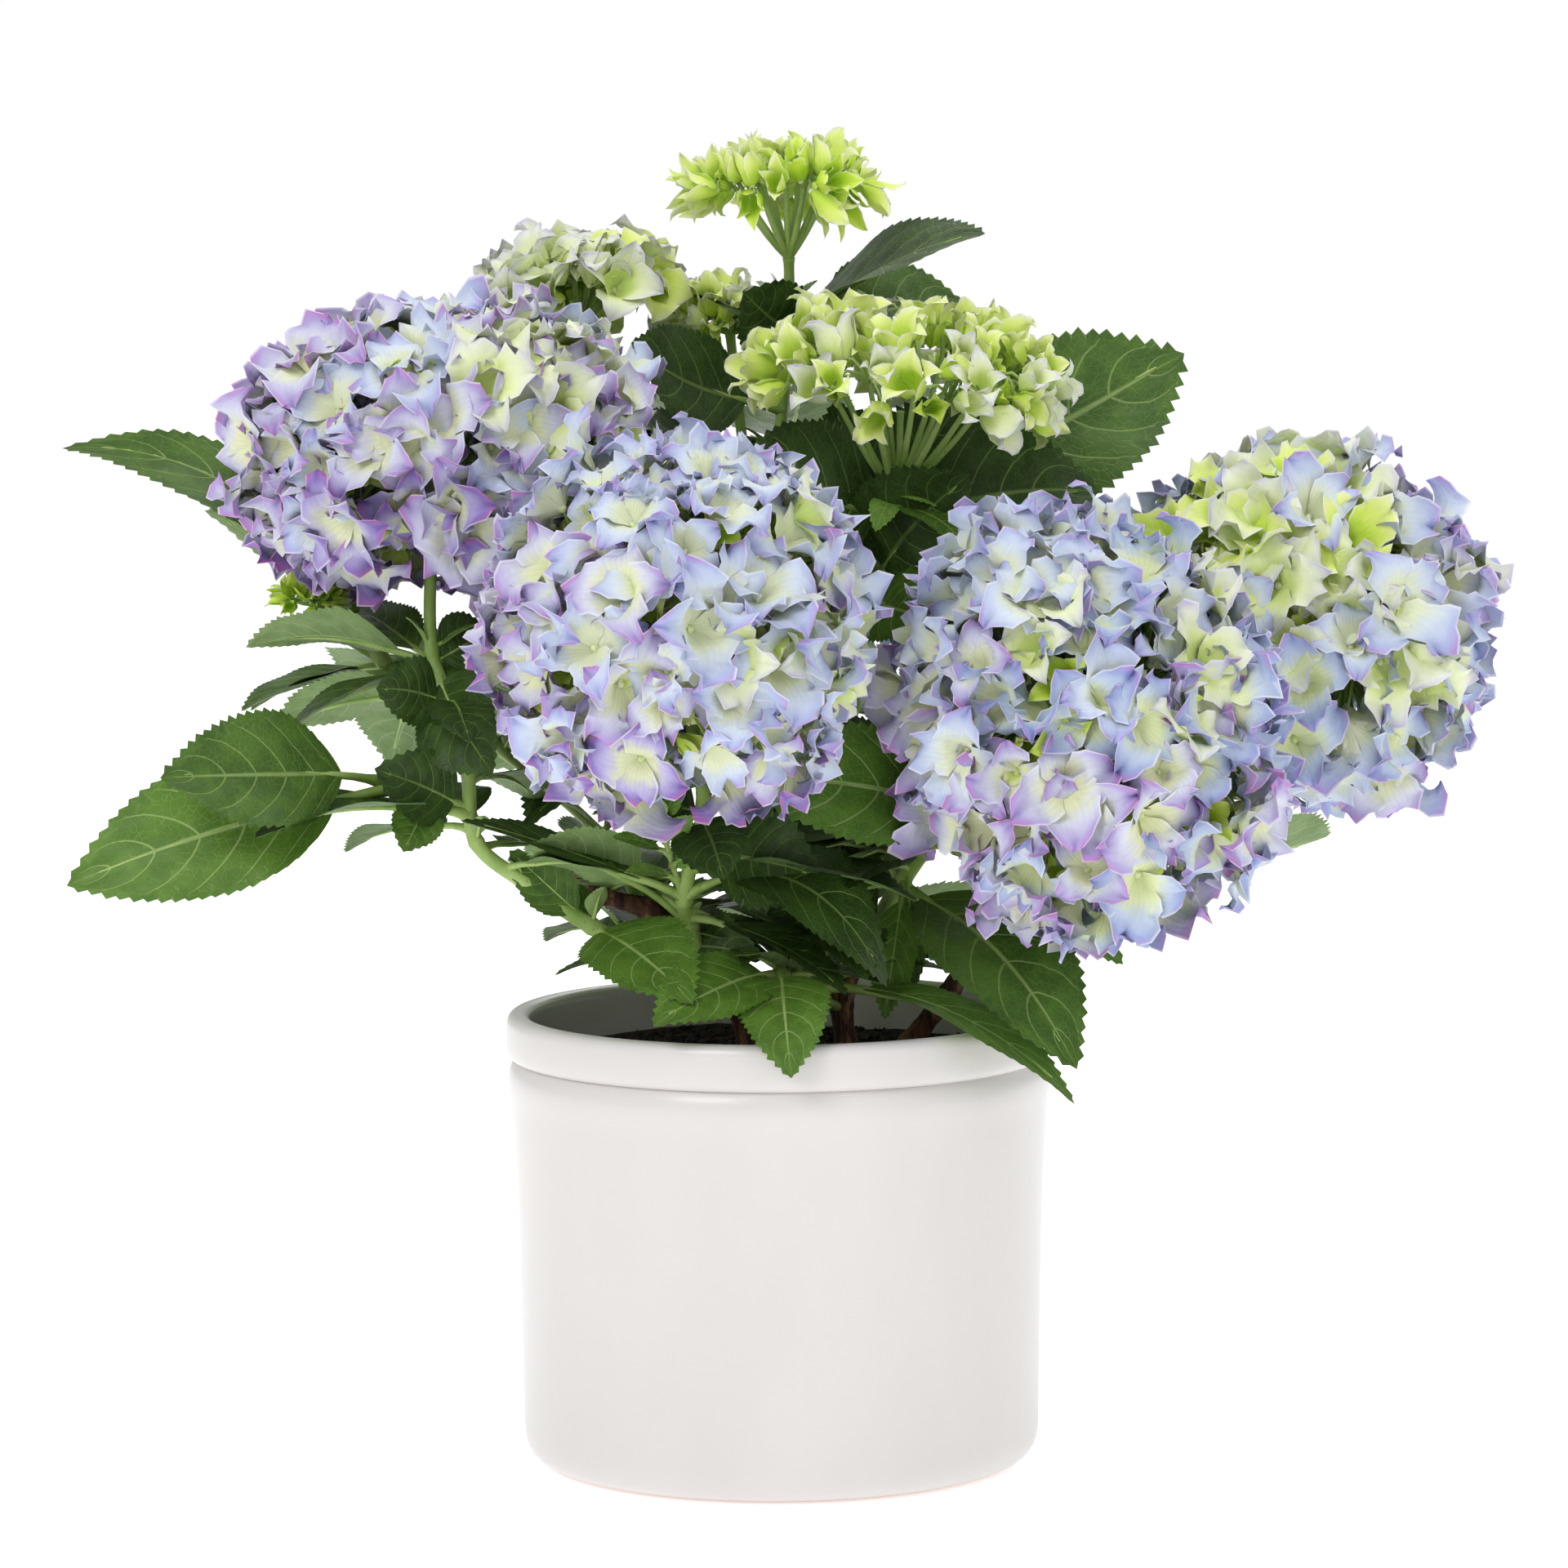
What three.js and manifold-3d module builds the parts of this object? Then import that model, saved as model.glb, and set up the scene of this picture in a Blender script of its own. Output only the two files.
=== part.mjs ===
// Mophead hydrangea in bloom, standing in a round glazed pot.
//
// Units are millimetres and +Z is up. The origin is the centre of the pot's flat underside. The front is -Y and +X
// is the right. Short woody stems stand on the soil, green boughs rise from them, and each bough carries a mass of
// leaves, most with a flower head on their end. Every piece is a separate solid, GAP clear of the next one.

import * as THREE from 'three';
import { mergeVertices } from 'three/addons/utils/BufferGeometryUtils.js';
import Module from 'manifold-3d';

const wasm = await Module();
wasm.setup();

// ---------------------------------------------------------------- driving dimensions

const GAP = 0.3;

// Slivers smaller than this are cleared away where pieces are fused.
const FUSE_TOLERANCE = 0.25;

// The pot's radii, and the heights at which its outline turns.
const POT = {
  height: 158,
  footRadius: 76,
  heelRadius: 89.8,
  heelHeight: 13,
  bodyRadius: 90.6,
  bodyHeight: 60,
  bellyRadius: 91.2,
  bellyHeight: 100,
  shoulderRadius: 93.4,
  shoulderHeight: 128,
  beadRadius: 96,
  beadHeight: 138,
  grooveRadius: 91.7,
  grooveHeight: 142,
  rimRadius: 95,
  rimFrom: 147,
  rimTo: 153,
  lipRound: 4,
  mouthRadius: 86.6,
  innerTopRadius: 85.2,
  innerTopHeight: 138,
  innerRadius: 84.2,
  floor: 8,
  floorRound: 8,
  segments: 32,
};

const SOIL = { level: 142, edgeDrop: 1.6, edgeWidth: 4, footHeight: 17, footRound: 9, taper: 1 };

// Directions that the upper side of a leaf looks to.
const UP = [0, 0, 1];
const FRONT_UP = [0, -1, 1.1];
const FRONT = [0, -1, 0.25];
const BACK_UP = [0, 1, 1.2];

// Old wood: each stem runs from the soil, where it is cut flat, through the points of its path.
const WOOD = {
  left: {
    radii: [5.6, 3.1],
    path: [[-9, -7, 142], [-15, -8, 163], [-24, -8, 180], [-47, -9, 195], [-62, -12, 200], [-70, -15, 210]],
  },
  centre: { radii: [6, 4.2], path: [[4, 8, 142], [2, 10, 165], [3, 14, 190], [4, 18, 215]] },
  right: { radii: [5.4, 4.2], path: [[24, -8, 142], [22, -8, 163], [28, -8, 178], [35, -10, 190]] },
  far_right: { radii: [5, 3.6], path: [[44, 12, 142], [58, 11, 160], [68, 9, 176], [80, 7, 192]] },
  back: { radii: [5.4, 4], path: [[8, 40, 142], [6, 42, 162], [4, 46, 182], [6, 50, 200]] },
};

// The old stems swell by this share at each point of their path, where leaves once stood.
const WOOD_KNOT = 0.08;

// Shoots: each leaves its wood at a place on the wood's path and runs on through its own points. The bough reaches
// to point number `enter`, the leafy mass from there to `bloomFrom`, and the flower stalk from there to the end. A
// leaf is set by its place on the stem, its tip, its width and the side that its face looks to.
const SHOOTS = [
  {
    name: 'left', from: ['left', 1.9], radii: [4.3, 2.9], enter: 4, bloomFrom: 7, seed: 11, grown: 2,
    path: [[-42, -21, 179], [-64, -30, 191], [-87, -35, 207], [-103, -37, 221], [-106, -36, 246], [-112, -32, 269],
      [-118, -26, 286], [-117, -14, 345]],
    leaves: [
      { at: 6.7, tip: [-186, -12, 287], width: 26, face: FRONT_UP },
      { at: 6.8, tip: [-150, 26, 299], width: 22, face: FRONT_UP, arch: 0.02 },
      { at: 6.2, tip: [-176, 14, 262], width: 24, face: FRONT_UP },
      { at: 6.0, tip: [-128, -60, 270], width: 20, face: FRONT_UP },
      { at: 6.6, tip: [-92, -62, 252], width: 17, face: [-1, -0.6, 0.2] },
      { at: 5.6, tip: [-104, -72, 262], width: 20, face: FRONT_UP },
    ],
    twigs: [{
      at: 4.5, radius: 2.3, tip: [-136, -42, 243],
      leaves: [
        { at: 0.75, tip: [-241, -62, 210], width: 44, face: FRONT_UP },
        { at: 0.98, tip: [-207, -78, 248], width: 42, face: FRONT_UP },
        { at: 0.55, tip: [-100, -70, 250], width: 26, face: FRONT },
        { at: 0.4, tip: [-126, -52, 218], width: 15, face: FRONT },
      ],
    }],
    bloom: {
      style: 'dome', centre: [-116, -10, 356], radii: [78, 58, 53], turn: [0, -7], florets: 28, size: 22,
    },
  },
  {
    name: 'left_back', from: ['left', 3], radii: [3.2, 2.2], enter: 3, bloomFrom: 5, seed: 12, grown: 2,
    path: [[-62, 12, 218], [-96, 26, 246], [-120, 30, 264], [-140, 28, 279], [-154, 18, 290], [-161, 11, 300]],
    leaves: [
      { at: 3.9, tip: [-251, 42, 353], width: 34, face: FRONT_UP },
      { at: 3.8, tip: [-203, 66, 329], width: 34, face: BACK_UP },
      { at: 3.6, tip: [-168, 92, 268], width: 40, face: UP },
      { at: 3.3, tip: [-190, 60, 236], width: 38, face: UP },
    ],
    twigs: [],
    bloom: {
      style: 'corymb', centre: [-162, 10, 301], radii: [14, 13, 9], turn: [0, 0], florets: 9, size: 6,
    },
  },
  {
    name: 'centre', from: ['left', 0.8], radii: [4.2, 3.3], enter: 3, bloomFrom: 5, seed: 13, grown: 2,
    path: [[-25, -25, 175], [-30, -36, 192], [-32, -43, 201], [-28, -58, 222], [-25, -69, 236], [-32, -100, 290]],
    leaves: [
      { at: 3.1, tip: [-107, -62, 232], width: 32, face: FRONT_UP, arch: 0.02 },
      { at: 3.12, tip: [37, -66, 174], width: 34, face: [0.2, -0.6, 1], arch: 0.34 },
      { at: 3.9, tip: [14, -66, 212], width: 30, face: FRONT_UP },
      { at: 4.3, tip: [-76, -28, 240], width: 28, face: FRONT_UP, arch: 0.2 },
    ],
    twigs: [{
      at: 3.5, radius: 1.6, tip: [-42, -36, 222],
      leaves: [{ at: 0.5, tip: [-66, -30, 212], width: 12, face: FRONT }],
    }],
    bloom: {
      style: 'dome', centre: [-33, -105, 301], radii: [71, 58, 68], turn: [-18, 0], florets: 28, size: 22,
    },
  },
  {
    name: 'right', from: ['right', 2.9], radii: [4.6, 4.2], enter: 2, bloomFrom: 3.2, seed: 14, grown: 2,
    path: [[42, -14, 203], [50, -24, 216], [60, -37, 228], [80, -58, 246], [104, -80, 264]],
    leaves: [
      { at: 2.1, tip: [102, -84, 147], width: 46, face: [0.7, -1, 0.9], arch: 0.1 },
      { at: 2.9, tip: [-18, -84, 238], width: 40, face: FRONT_UP },
      { at: 2.5, tip: [6, -52, 262], width: 34, face: FRONT_UP },
      { at: 2.3, tip: [122, -28, 176], width: 28, face: FRONT_UP },
    ],
    twigs: [],
    bloom: {
      style: 'dome', centre: [105, -80, 265], radii: [70, 60, 81], turn: [-12, -14], florets: 30, size: 23,
    },
  },
  {
    name: 'right_back', from: ['far_right', 2.6], radii: [4.2, 3.4], enter: 2, bloomFrom: 4, seed: 15, grown: 2,
    path: [[96, 14, 204], [112, 20, 214], [128, 25, 224], [143, 29, 236], [186, 35, 280]],
    leaves: [
      { at: 2.3, tip: [176, -12, 190], width: 44, face: UP },
      { at: 2.6, tip: [128, 96, 214], width: 46, face: BACK_UP },
      { at: 2.8, tip: [199, 100, 207], width: 44, face: BACK_UP, arch: -0.08 },
      { at: 3.8, tip: [100, 58, 269], width: 38, face: BACK_UP, arch: -0.08 },
    ],
    twigs: [],
    bloom: {
      style: 'dome', centre: [187, 36, 283], radii: [68, 60, 69], turn: [0, 16], florets: 28, size: 22,
    },
  },
  {
    name: 'upper_right', from: ['centre', 2], radii: [4.2, 3], enter: 3, bloomFrom: 6, seed: 16, grown: 2,
    path: [[18, 16, 214], [26, 23, 262], [31, 22, 290], [35, 17, 308], [38, 10, 324], [42, -2, 340], [43, -9, 366]],
    leaves: [
      { at: 5.3, tip: [144, 44, 380], width: 58, face: [0.1, -1, 0.35], arch: -0.08 },
      { at: 5.1, tip: [110, 2, 340], width: 38, face: [0.1, -1, 0.6] },
      { at: 5.2, tip: [-12, -18, 345], width: 44, face: FRONT_UP },
      { at: 4.0, tip: [51, -40, 333], width: 30, face: FRONT },
      { at: 3.4, tip: [54, -34, 296], width: 26, face: FRONT },
      { at: 4.4, tip: [76, 84, 350], width: 46, face: BACK_UP },
    ],
    twigs: [],
    bloom: {
      style: 'corymb', centre: [43, -12, 375], radii: [63, 50, 34], turn: [4, 6], florets: 26, size: 15, rays: 6,
    },
  },
  {
    name: 'upper_left', from: ['centre', 1.8], radii: [4, 2.8], enter: 3, bloomFrom: 5, seed: 17, grown: 2,
    path: [[-10, 32, 232], [-28, 46, 276], [-44, 55, 316], [-54, 58, 342], [-62, 60, 362], [-70, 60, 394]],
    leaves: [
      { at: 3.8, tip: [-117, 144, 328], width: 48, face: BACK_UP, arch: 0.24 },
      { at: 4.4, tip: [-132, 72, 372], width: 42, face: BACK_UP },
      { at: 4.1, tip: [-62, 136, 366], width: 46, face: BACK_UP },
    ],
    twigs: [],
    bloom: {
      style: 'corymb', centre: [-71, 60, 406], radii: [43, 40, 26], turn: [0, -6], florets: 20, size: 14, rays: 5,
    },
  },
  {
    name: 'top', from: ['centre', 3], radii: [3.8, 2.6], enter: 2, bloomFrom: 5, seed: 18, grown: 2,
    path: [[4, 26, 262], [2, 36, 312], [1, 42, 346], [3, 43, 372], [5, 37, 397], [5, 26, 418]],
    leaves: [
      { at: 4.3, tip: [73, -2, 430], width: 34, face: [-0.35, 0.2, 1], arch: 0.16 },
      { at: 4.4, tip: [58, 84, 411], width: 44, face: UP, arch: 0.2 },
      { at: 3.7, tip: [-49, 0, 390], width: 40, face: [-0.2, -1, 0.6], arch: -0.08 },
      { at: 4.5, tip: [-30, 92, 408], width: 40, face: UP, arch: 0.24 },
      { at: 3.0, tip: [-50, -4, 365], width: 38, face: FRONT_UP, arch: -0.08 },
      { at: 3.3, tip: [10, 118, 372], width: 44, face: BACK_UP, arch: -0.08 },
    ],
    twigs: [],
    bloom: {
      style: 'corymb', centre: [4, 22, 446], radii: [42, 38, 16], turn: [0, -2], florets: 20, size: 11, rays: 7,
    },
  },
  {
    name: 'back_left', from: ['back', 1.5], radii: [4.2, 3], enter: 2, bloomFrom: 3.6, seed: 19, grown: 2,
    path: [[-10, 60, 216], [-26, 70, 234], [-40, 80, 250], [-52, 90, 268], [-62, 102, 298]],
    leaves: [
      { at: 2.4, tip: [-118, 128, 232], width: 50, face: BACK_UP },
      { at: 2.7, tip: [-6, 158, 258], width: 50, face: BACK_UP },
      { at: 2.9, tip: [-136, 106, 282], width: 46, face: BACK_UP, arch: -0.08 },
      { at: 3.0, tip: [6, 132, 312], width: 46, face: BACK_UP, arch: -0.08 },
    ],
    twigs: [],
    bloom: {
      style: 'dome', centre: [-62, 106, 304], radii: [48, 46, 42], turn: [20, 0], florets: 20, size: 19,
    },
  },
  {
    name: 'back_right', from: ['back', 1.9], radii: [4.2, 3], enter: 2, bloomFrom: 3.3, seed: 20, grown: 2,
    path: [[24, 60, 218], [44, 70, 232], [58, 78, 244], [72, 87, 258], [86, 98, 284]],
    leaves: [
      { at: 2.4, tip: [54, 162, 222], width: 50, face: BACK_UP },
      { at: 2.6, tip: [130, 124, 230], width: 42, face: BACK_UP, arch: 0.02 },
      { at: 3.0, tip: [20, 150, 296], width: 48, face: BACK_UP, arch: -0.08 },
    ],
    twigs: [],
    bloom: {
      style: 'dome', centre: [88, 102, 290], radii: [48, 44, 42], turn: [20, 0], florets: 20, size: 19,
    },
  },
  {
    name: 'back_top', from: ['back', 3], radii: [3.4, 2.4], enter: 2, bloomFrom: 4, seed: 21, grown: 2,
    path: [[2, 54, 242], [-5, 60, 302], [-10, 65, 340], [-13, 68, 362], [-16, 71, 391]],
    leaves: [
      { at: 2.3, tip: [-24, 158, 322], width: 48, face: BACK_UP, arch: 0.16 },
      { at: 3.1, tip: [50, 126, 350], width: 44, face: BACK_UP, arch: -0.08 },
    ],
    twigs: [],
    bloom: {
      style: 'corymb', centre: [-16, 71, 394], radii: [27, 26, 18], turn: [0, 0], florets: 14, size: 13,
    },
  },
  {
    name: 'low_left', from: ['left', 1.3], radii: [2.6, 1.8], enter: 1, bloomFrom: 3, seed: 22, grown: 2,
    path: [[-32, 4, 173], [-43, 10, 179], [-54, 16, 184]],
    leaves: [
      { at: 1.6, tip: [-32, -106, 162], width: 34, face: FRONT_UP, arch: -0.08 },
      { at: 2.5, tip: [-118, 44, 196], width: 42, face: UP },
      { at: 2.9, tip: [-86, 84, 186], width: 42, face: BACK_UP },
    ],
    twigs: [],
  },
  {
    name: 'low_front', from: ['right', 0.8], radii: [2.6, 1.8], enter: 1, bloomFrom: 3, seed: 23, grown: 0,
    path: [[12, -26, 166], [6, -38, 172], [0, -48, 178]],
    leaves: [
      { at: 2.9, tip: [4, -106, 149], width: 31, face: FRONT, arch: 0.14 },
      { at: 2.6, tip: [-42, -98, 166], width: 32, face: FRONT_UP, arch: 0.1 },
      { at: 1.5, tip: [103, -90, 132], width: 30, face: [0.1, -0.5, 1], arch: 0.12 },
    ],
    twigs: [],
  },
  {
    name: 'low_back', from: ['back', 0.8], radii: [2.6, 1.8], enter: 1, bloomFrom: 3, seed: 24, grown: 2,
    path: [[12, 54, 166], [14, 62, 171], [16, 70, 176]],
    leaves: [
      { at: 1.6, tip: [-42, 136, 155], width: 42, face: BACK_UP, arch: 0.14 },
      { at: 2.4, tip: [90, 112, 166], width: 44, face: BACK_UP, arch: 0.12 },
      { at: 2.9, tip: [26, 150, 150], width: 44, face: BACK_UP, arch: 0.16 },
    ],
    twigs: [],
  },
];

const LEAF = {
  thickness: 1.5,
  petioleRadius: 1.2,
  petiolePlaces: [0, 0.2],
  fold: 0.22,
  arch: 0.08,
  // Place between root and tip, and the blade's half width there as a share of the greatest.
  outline: [[0.31, 0.64], [0.52, 1], [0.8, 0.68]],
};

// Leaves that no list names grow by this rule, out of the stem in a spiral, `margin` off the ends of the mass.
const GROWN = {
  length: 74,
  spread: 0.35,
  width: 0.46,
  turn: 137.5,
  rise: 22,
  lowest: -0.3,
  droop: 0.18,
  lean: 0.6,
  margin: 0.2,
  tries: 4,
};

// The crown's outer limit, an ellipsoid, the clearance kept to blooms, limbs and the pot, and the places between a
// leaf's root and tip where it is tested.
const CROWN = {
  centre: [0, 0, 300],
  radii: [245, 165, 150],
  bloomClear: 5,
  limbClear: 7,
  potClear: 10,
  tested: [0.35, 0.6, 0.8, 1],
};

// Sizes of a floret as shares of its radius, except `stand`, how far it stands off the head's core.
const FLORET = { sepals: 4, smallest: 0.88, spread: 0.24, tipRise: 0.22, dimple: 0.02, root: 0.7, stand: 1 };

// A dome is a full ball of florets, and a corymb a flatter one that is open below. The core is smaller than the head
// by `inset` floret radii, and no floret grows below the direction `lowest`.
const HEADS = {
  dome: { inset: 0.36, coreFlat: 1, seatFlat: 1, lowest: -0.8 },
  corymb: { inset: 0.5, coreFlat: 0.6, seatFlat: 0.75, lowest: -0.35 },
};

// Stalks that fan out from the end of the stem to the underside of a corymb.
const RAY = { reach: 0.55, height: -0.1, radii: [1.5, 1.2] };

const TWIG_TAPER = 0.8;

const SIDES = { wood: 6, bough: 5, stem: 5, twig: 3 };

// ---------------------------------------------------------------- materials

const standard = (color, roughness) => new THREE.MeshStandardMaterial({ color, roughness, metalness: 0 });

const MATERIALS = {
  pot: standard('#e9e7e5', 0.35),
  soil: standard('#2a211c', 0.95),
  wood: standard('#5c3a26', 0.85),
  bough: standard('#93b35a', 0.5),
  foliage: standard('#3a6b26', 0.4),
  blueBloom: standard('#b3bfe6', 0.65),
  violetBloom: standard('#a99bd6', 0.65),
  limeBloom: standard('#d5e29a', 0.65),
  budBloom: standard('#a9c94e', 0.6),
};

const BLOOM_FINISH = {
  left: MATERIALS.violetBloom,
  upper_right: MATERIALS.limeBloom,
  upper_left: MATERIALS.limeBloom,
  back_top: MATERIALS.limeBloom,
  top: MATERIALS.budBloom,
  left_back: MATERIALS.budBloom,
};

// ---------------------------------------------------------------- helpers

const vec = (p) => new THREE.Vector3(p[0], p[1], p[2]);
const along = (a, b, t) => a.clone().lerp(b, t);

/** Repeatable random numbers between 0 and 1. */
function seeded(seed) {
  let state = seed >>> 0;
  return () => {
    state = (Math.imul(state, 1664525) + 1013904223) >>> 0;
    return state / 4294967296;
  };
}

/** A closed three.js geometry as a manifold solid. */
function solidOf(geometry) {
  geometry.deleteAttribute('normal');
  geometry.deleteAttribute('uv');
  const merged = mergeVertices(geometry, 1e-4);
  const mesh = new wasm.Mesh({
    numProp: 3,
    vertProperties: new Float32Array(merged.attributes.position.array),
    triVerts: new Uint32Array(merged.index.array),
  });
  return new wasm.Manifold(mesh);
}

/** A closed geometry through rings of points. A ring turns counter-clockwise about the way on, or is one point. */
function loft(rings) {
  const positions = [];
  const first = rings.map((ring) => {
    const start = positions.length / 3;
    ring.forEach((p) => positions.push(p.x, p.y, p.z));
    return start;
  });
  const faces = [];
  rings.slice(1).forEach((upper, i) => {
    const lower = rings[i];
    const count = Math.max(lower.length, upper.length);
    for (let k = 0; k < count; k += 1) {
      const next = (k + 1) % count;
      const a = first[i] + (k % lower.length);
      const b = first[i] + (next % lower.length);
      const c = first[i + 1] + (next % upper.length);
      const d = first[i + 1] + (k % upper.length);
      if (lower.length > 1) faces.push(a, b, c);
      if (upper.length > 1) faces.push(a, c, d);
    }
  });
  const last = rings.length - 1;
  for (let k = 1; k + 1 < rings[0].length; k += 1) faces.push(first[0], first[0] + k + 1, first[0] + k);
  for (let k = 1; k + 1 < rings[last].length; k += 1) faces.push(first[last], first[last] + k, first[last] + k + 1);
  const geometry = new THREE.BufferGeometry();
  geometry.setAttribute('position', new THREE.Float32BufferAttribute(positions, 3));
  geometry.setIndex(faces);
  return geometry;
}

/** A smooth path whose point number k lies at place k. */
class Path {
  constructor(points) {
    this.curve = new THREE.CatmullRomCurve3(points.map(vec), false, 'centripetal');
    this.last = points.length - 1;
    const chord = vec(points[this.last]).sub(vec(points[0]));
    this.side = Math.abs(chord.y) > Math.abs(chord.x) ? new THREE.Vector3(1, 0, 0) : new THREE.Vector3(0, 1, 0);
  }

  point(place) {
    return this.curve.getPoint(Math.min(Math.max(place / this.last, 0), 1));
  }

  tangent(place) {
    const step = 1e-3 * this.last;
    return this.point(place + step).sub(this.point(place - step)).normalize();
  }

  /** The place a given length further on. */
  after(place, length) {
    const step = 0.01;
    return place + (length * step) / this.point(place + step).distanceTo(this.point(place));
  }

  ring(place, radius, sides) {
    const tangent = this.tangent(place);
    const across = this.side.clone().addScaledVector(tangent, -this.side.dot(tangent)).normalize();
    const other = tangent.clone().cross(across);
    const centre = this.point(place);
    return Array.from({ length: sides }, (_, k) => {
      const turn = (k / sides) * 2 * Math.PI;
      return centre.clone().addScaledVector(across, radius * Math.cos(turn))
        .addScaledVector(other, radius * Math.sin(turn));
    });
  }
}

/** A limb along a path between two places, with a radius for each place and a flat cut at each end. */
function limb(path, from, to, radiusAt, sides, stepsPerPoint = 2) {
  const steps = Math.max(1, Math.round((to - from) * stepsPerPoint));
  const rings = Array.from({ length: steps + 1 }, (_, i) => {
    const place = from + ((to - from) * i) / steps;
    return path.ring(place, radiusAt(place), sides);
  });
  return solidOf(loft(rings));
}

/** A straight tapering twig. */
function twigBetween(start, end, radii, sides) {
  const path = new Path([start.toArray(), along(start, end, 0.5).toArray(), end.toArray()]);
  return limb(path, 0, 2, (place) => THREE.MathUtils.lerp(radii[0], radii[1], place / 2), sides, 1);
}

// ---------------------------------------------------------------- pot and soil

/** Turns a profile of radius and height about the upright axis. */
function turned(outline, segments) {
  return solidOf(new THREE.LatheGeometry(outline, segments).rotateX(Math.PI / 2));
}

/** The pot: a straight round body with a bead, a groove and a rounded rim, hollow to its floor. */
function pot() {
  const { height, lipRound, floor, floorRound } = POT;
  const outline = new THREE.Path();
  outline.moveTo(0, 0);
  outline.lineTo(POT.footRadius, 0);
  outline.quadraticCurveTo(POT.heelRadius, 0, POT.heelRadius, POT.heelHeight);
  outline.lineTo(POT.bodyRadius, POT.bodyHeight);
  outline.quadraticCurveTo(POT.bellyRadius, POT.bellyHeight, POT.shoulderRadius, POT.shoulderHeight);
  outline.quadraticCurveTo(POT.beadRadius, POT.beadHeight, POT.grooveRadius, POT.grooveHeight);
  outline.quadraticCurveTo(POT.rimRadius, POT.grooveHeight, POT.rimRadius, POT.rimFrom);
  outline.lineTo(POT.rimRadius, POT.rimTo);
  outline.quadraticCurveTo(POT.rimRadius, height, POT.rimRadius - lipRound, height);
  outline.quadraticCurveTo(POT.mouthRadius, height, POT.mouthRadius, height - lipRound);
  outline.lineTo(POT.innerTopRadius, POT.innerTopHeight);
  outline.lineTo(POT.innerRadius, floor + floorRound);
  outline.quadraticCurveTo(POT.innerRadius, floor, POT.innerRadius - floorRound, floor);
  outline.lineTo(0, floor);
  return turned(outline.getPoints(3), POT.segments);
}

/** The potting soil: it fills the pot to below its rim and falls off a little at the wall. */
function soil() {
  const radius = POT.innerRadius - GAP;
  const outline = new THREE.Path();
  outline.moveTo(0, POT.floor + GAP);
  outline.lineTo(radius - SOIL.footRound, POT.floor + GAP);
  outline.lineTo(radius, SOIL.footHeight);
  outline.lineTo(radius + SOIL.taper, SOIL.level - SOIL.edgeDrop);
  outline.lineTo(radius - SOIL.edgeWidth, SOIL.level);
  outline.lineTo(0, SOIL.level);
  return turned(outline.getPoints(1), POT.segments);
}

// ---------------------------------------------------------------- leaves

/**
 * A leaf on its petiole, from a root inside a stem to its tip: an ovate blade with a raised edge on both sides of the
 * midrib, bent over its length by `arch`.
 */
function leafSolid(root, leaf) {
  const tip = vec(leaf.tip);
  const chord = tip.clone().sub(root);
  const length = chord.length();
  const face = vec(leaf.face);
  const normal = face.addScaledVector(chord, -face.dot(chord) / (length * length)).normalize();
  const arch = leaf.arch ?? LEAF.arch;
  const bend = (t) => along(root, tip, t).addScaledVector(normal, 4 * arch * length * t * (1 - t));
  // A four-cornered ring: over, right, under and left of the midrib.
  const ring = (t, half, thickness, lift) => {
    const middle = bend(t);
    const ahead = bend(t + 0.02).sub(bend(t - 0.02)).normalize();
    const upward = normal.clone().addScaledVector(ahead, -normal.dot(ahead)).normalize();
    const side = ahead.clone().cross(upward);
    const edge = (sign) => middle.clone().addScaledVector(side, sign * half).addScaledVector(upward, half * lift);
    return [
      middle.clone().addScaledVector(upward, thickness / 2), edge(1),
      middle.clone().addScaledVector(upward, -thickness / 2), edge(-1),
    ];
  };
  const petiole = LEAF.petiolePlaces.map((t) => ring(t, LEAF.petioleRadius, LEAF.petioleRadius * 2, 0));
  const blade = LEAF.outline.map(([t, wide]) => ring(t, (leaf.width / 2) * wide, LEAF.thickness, LEAF.fold));
  return solidOf(loft([...petiole, ...blade, [tip]]));
}

// ---------------------------------------------------------------- blooms

/** The frame of a bloom: maps a unit direction to a place and a normal on its ellipsoid. */
function bloomFrame(bloom) {
  const [aboutX, aboutY] = bloom.turn.map(THREE.MathUtils.degToRad);
  const turn = new THREE.Quaternion().setFromEuler(new THREE.Euler(aboutX, aboutY, 0));
  const radii = vec(bloom.radii);
  return {
    turn,
    place: (unit, share) => unit.clone().multiply(radii).multiplyScalar(share).applyQuaternion(turn)
      .add(vec(bloom.centre)),
    normal: (unit) => unit.clone().divide(radii).normalize().applyQuaternion(turn),
  };
}

/** Directions spread evenly over a ball, from its top down. */
function spread(count) {
  const golden = Math.PI * (3 - Math.sqrt(5));
  return Array.from({ length: count }, (_, i) => {
    const up = 1 - (2 * (i + 0.5)) / count;
    const out = Math.sqrt(1 - up * up);
    return new THREE.Vector3(out * Math.cos(golden * i), out * Math.sin(golden * i), up);
  });
}

/** One floret: a shallow cup whose corners are its four sepals, with its root inside the head. */
function floretSolid(base, normal, size, spin) {
  const side = new THREE.Vector3(0.3, 0.9, 0.2).cross(normal).normalize();
  const other = normal.clone().cross(side);
  const rim = Array.from({ length: FLORET.sepals }, (_, k) => {
    const turn = spin + (k * 2 * Math.PI) / FLORET.sepals;
    return base.clone().addScaledVector(side, size * Math.cos(turn)).addScaledVector(other, size * Math.sin(turn))
      .addScaledVector(normal, size * FLORET.tipRise);
  });
  const root = base.clone().addScaledVector(normal, -size * FLORET.root);
  const eye = base.clone().addScaledVector(normal, size * FLORET.dimple);
  return solidOf(loft([[root], rim, [eye]]));
}

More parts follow.
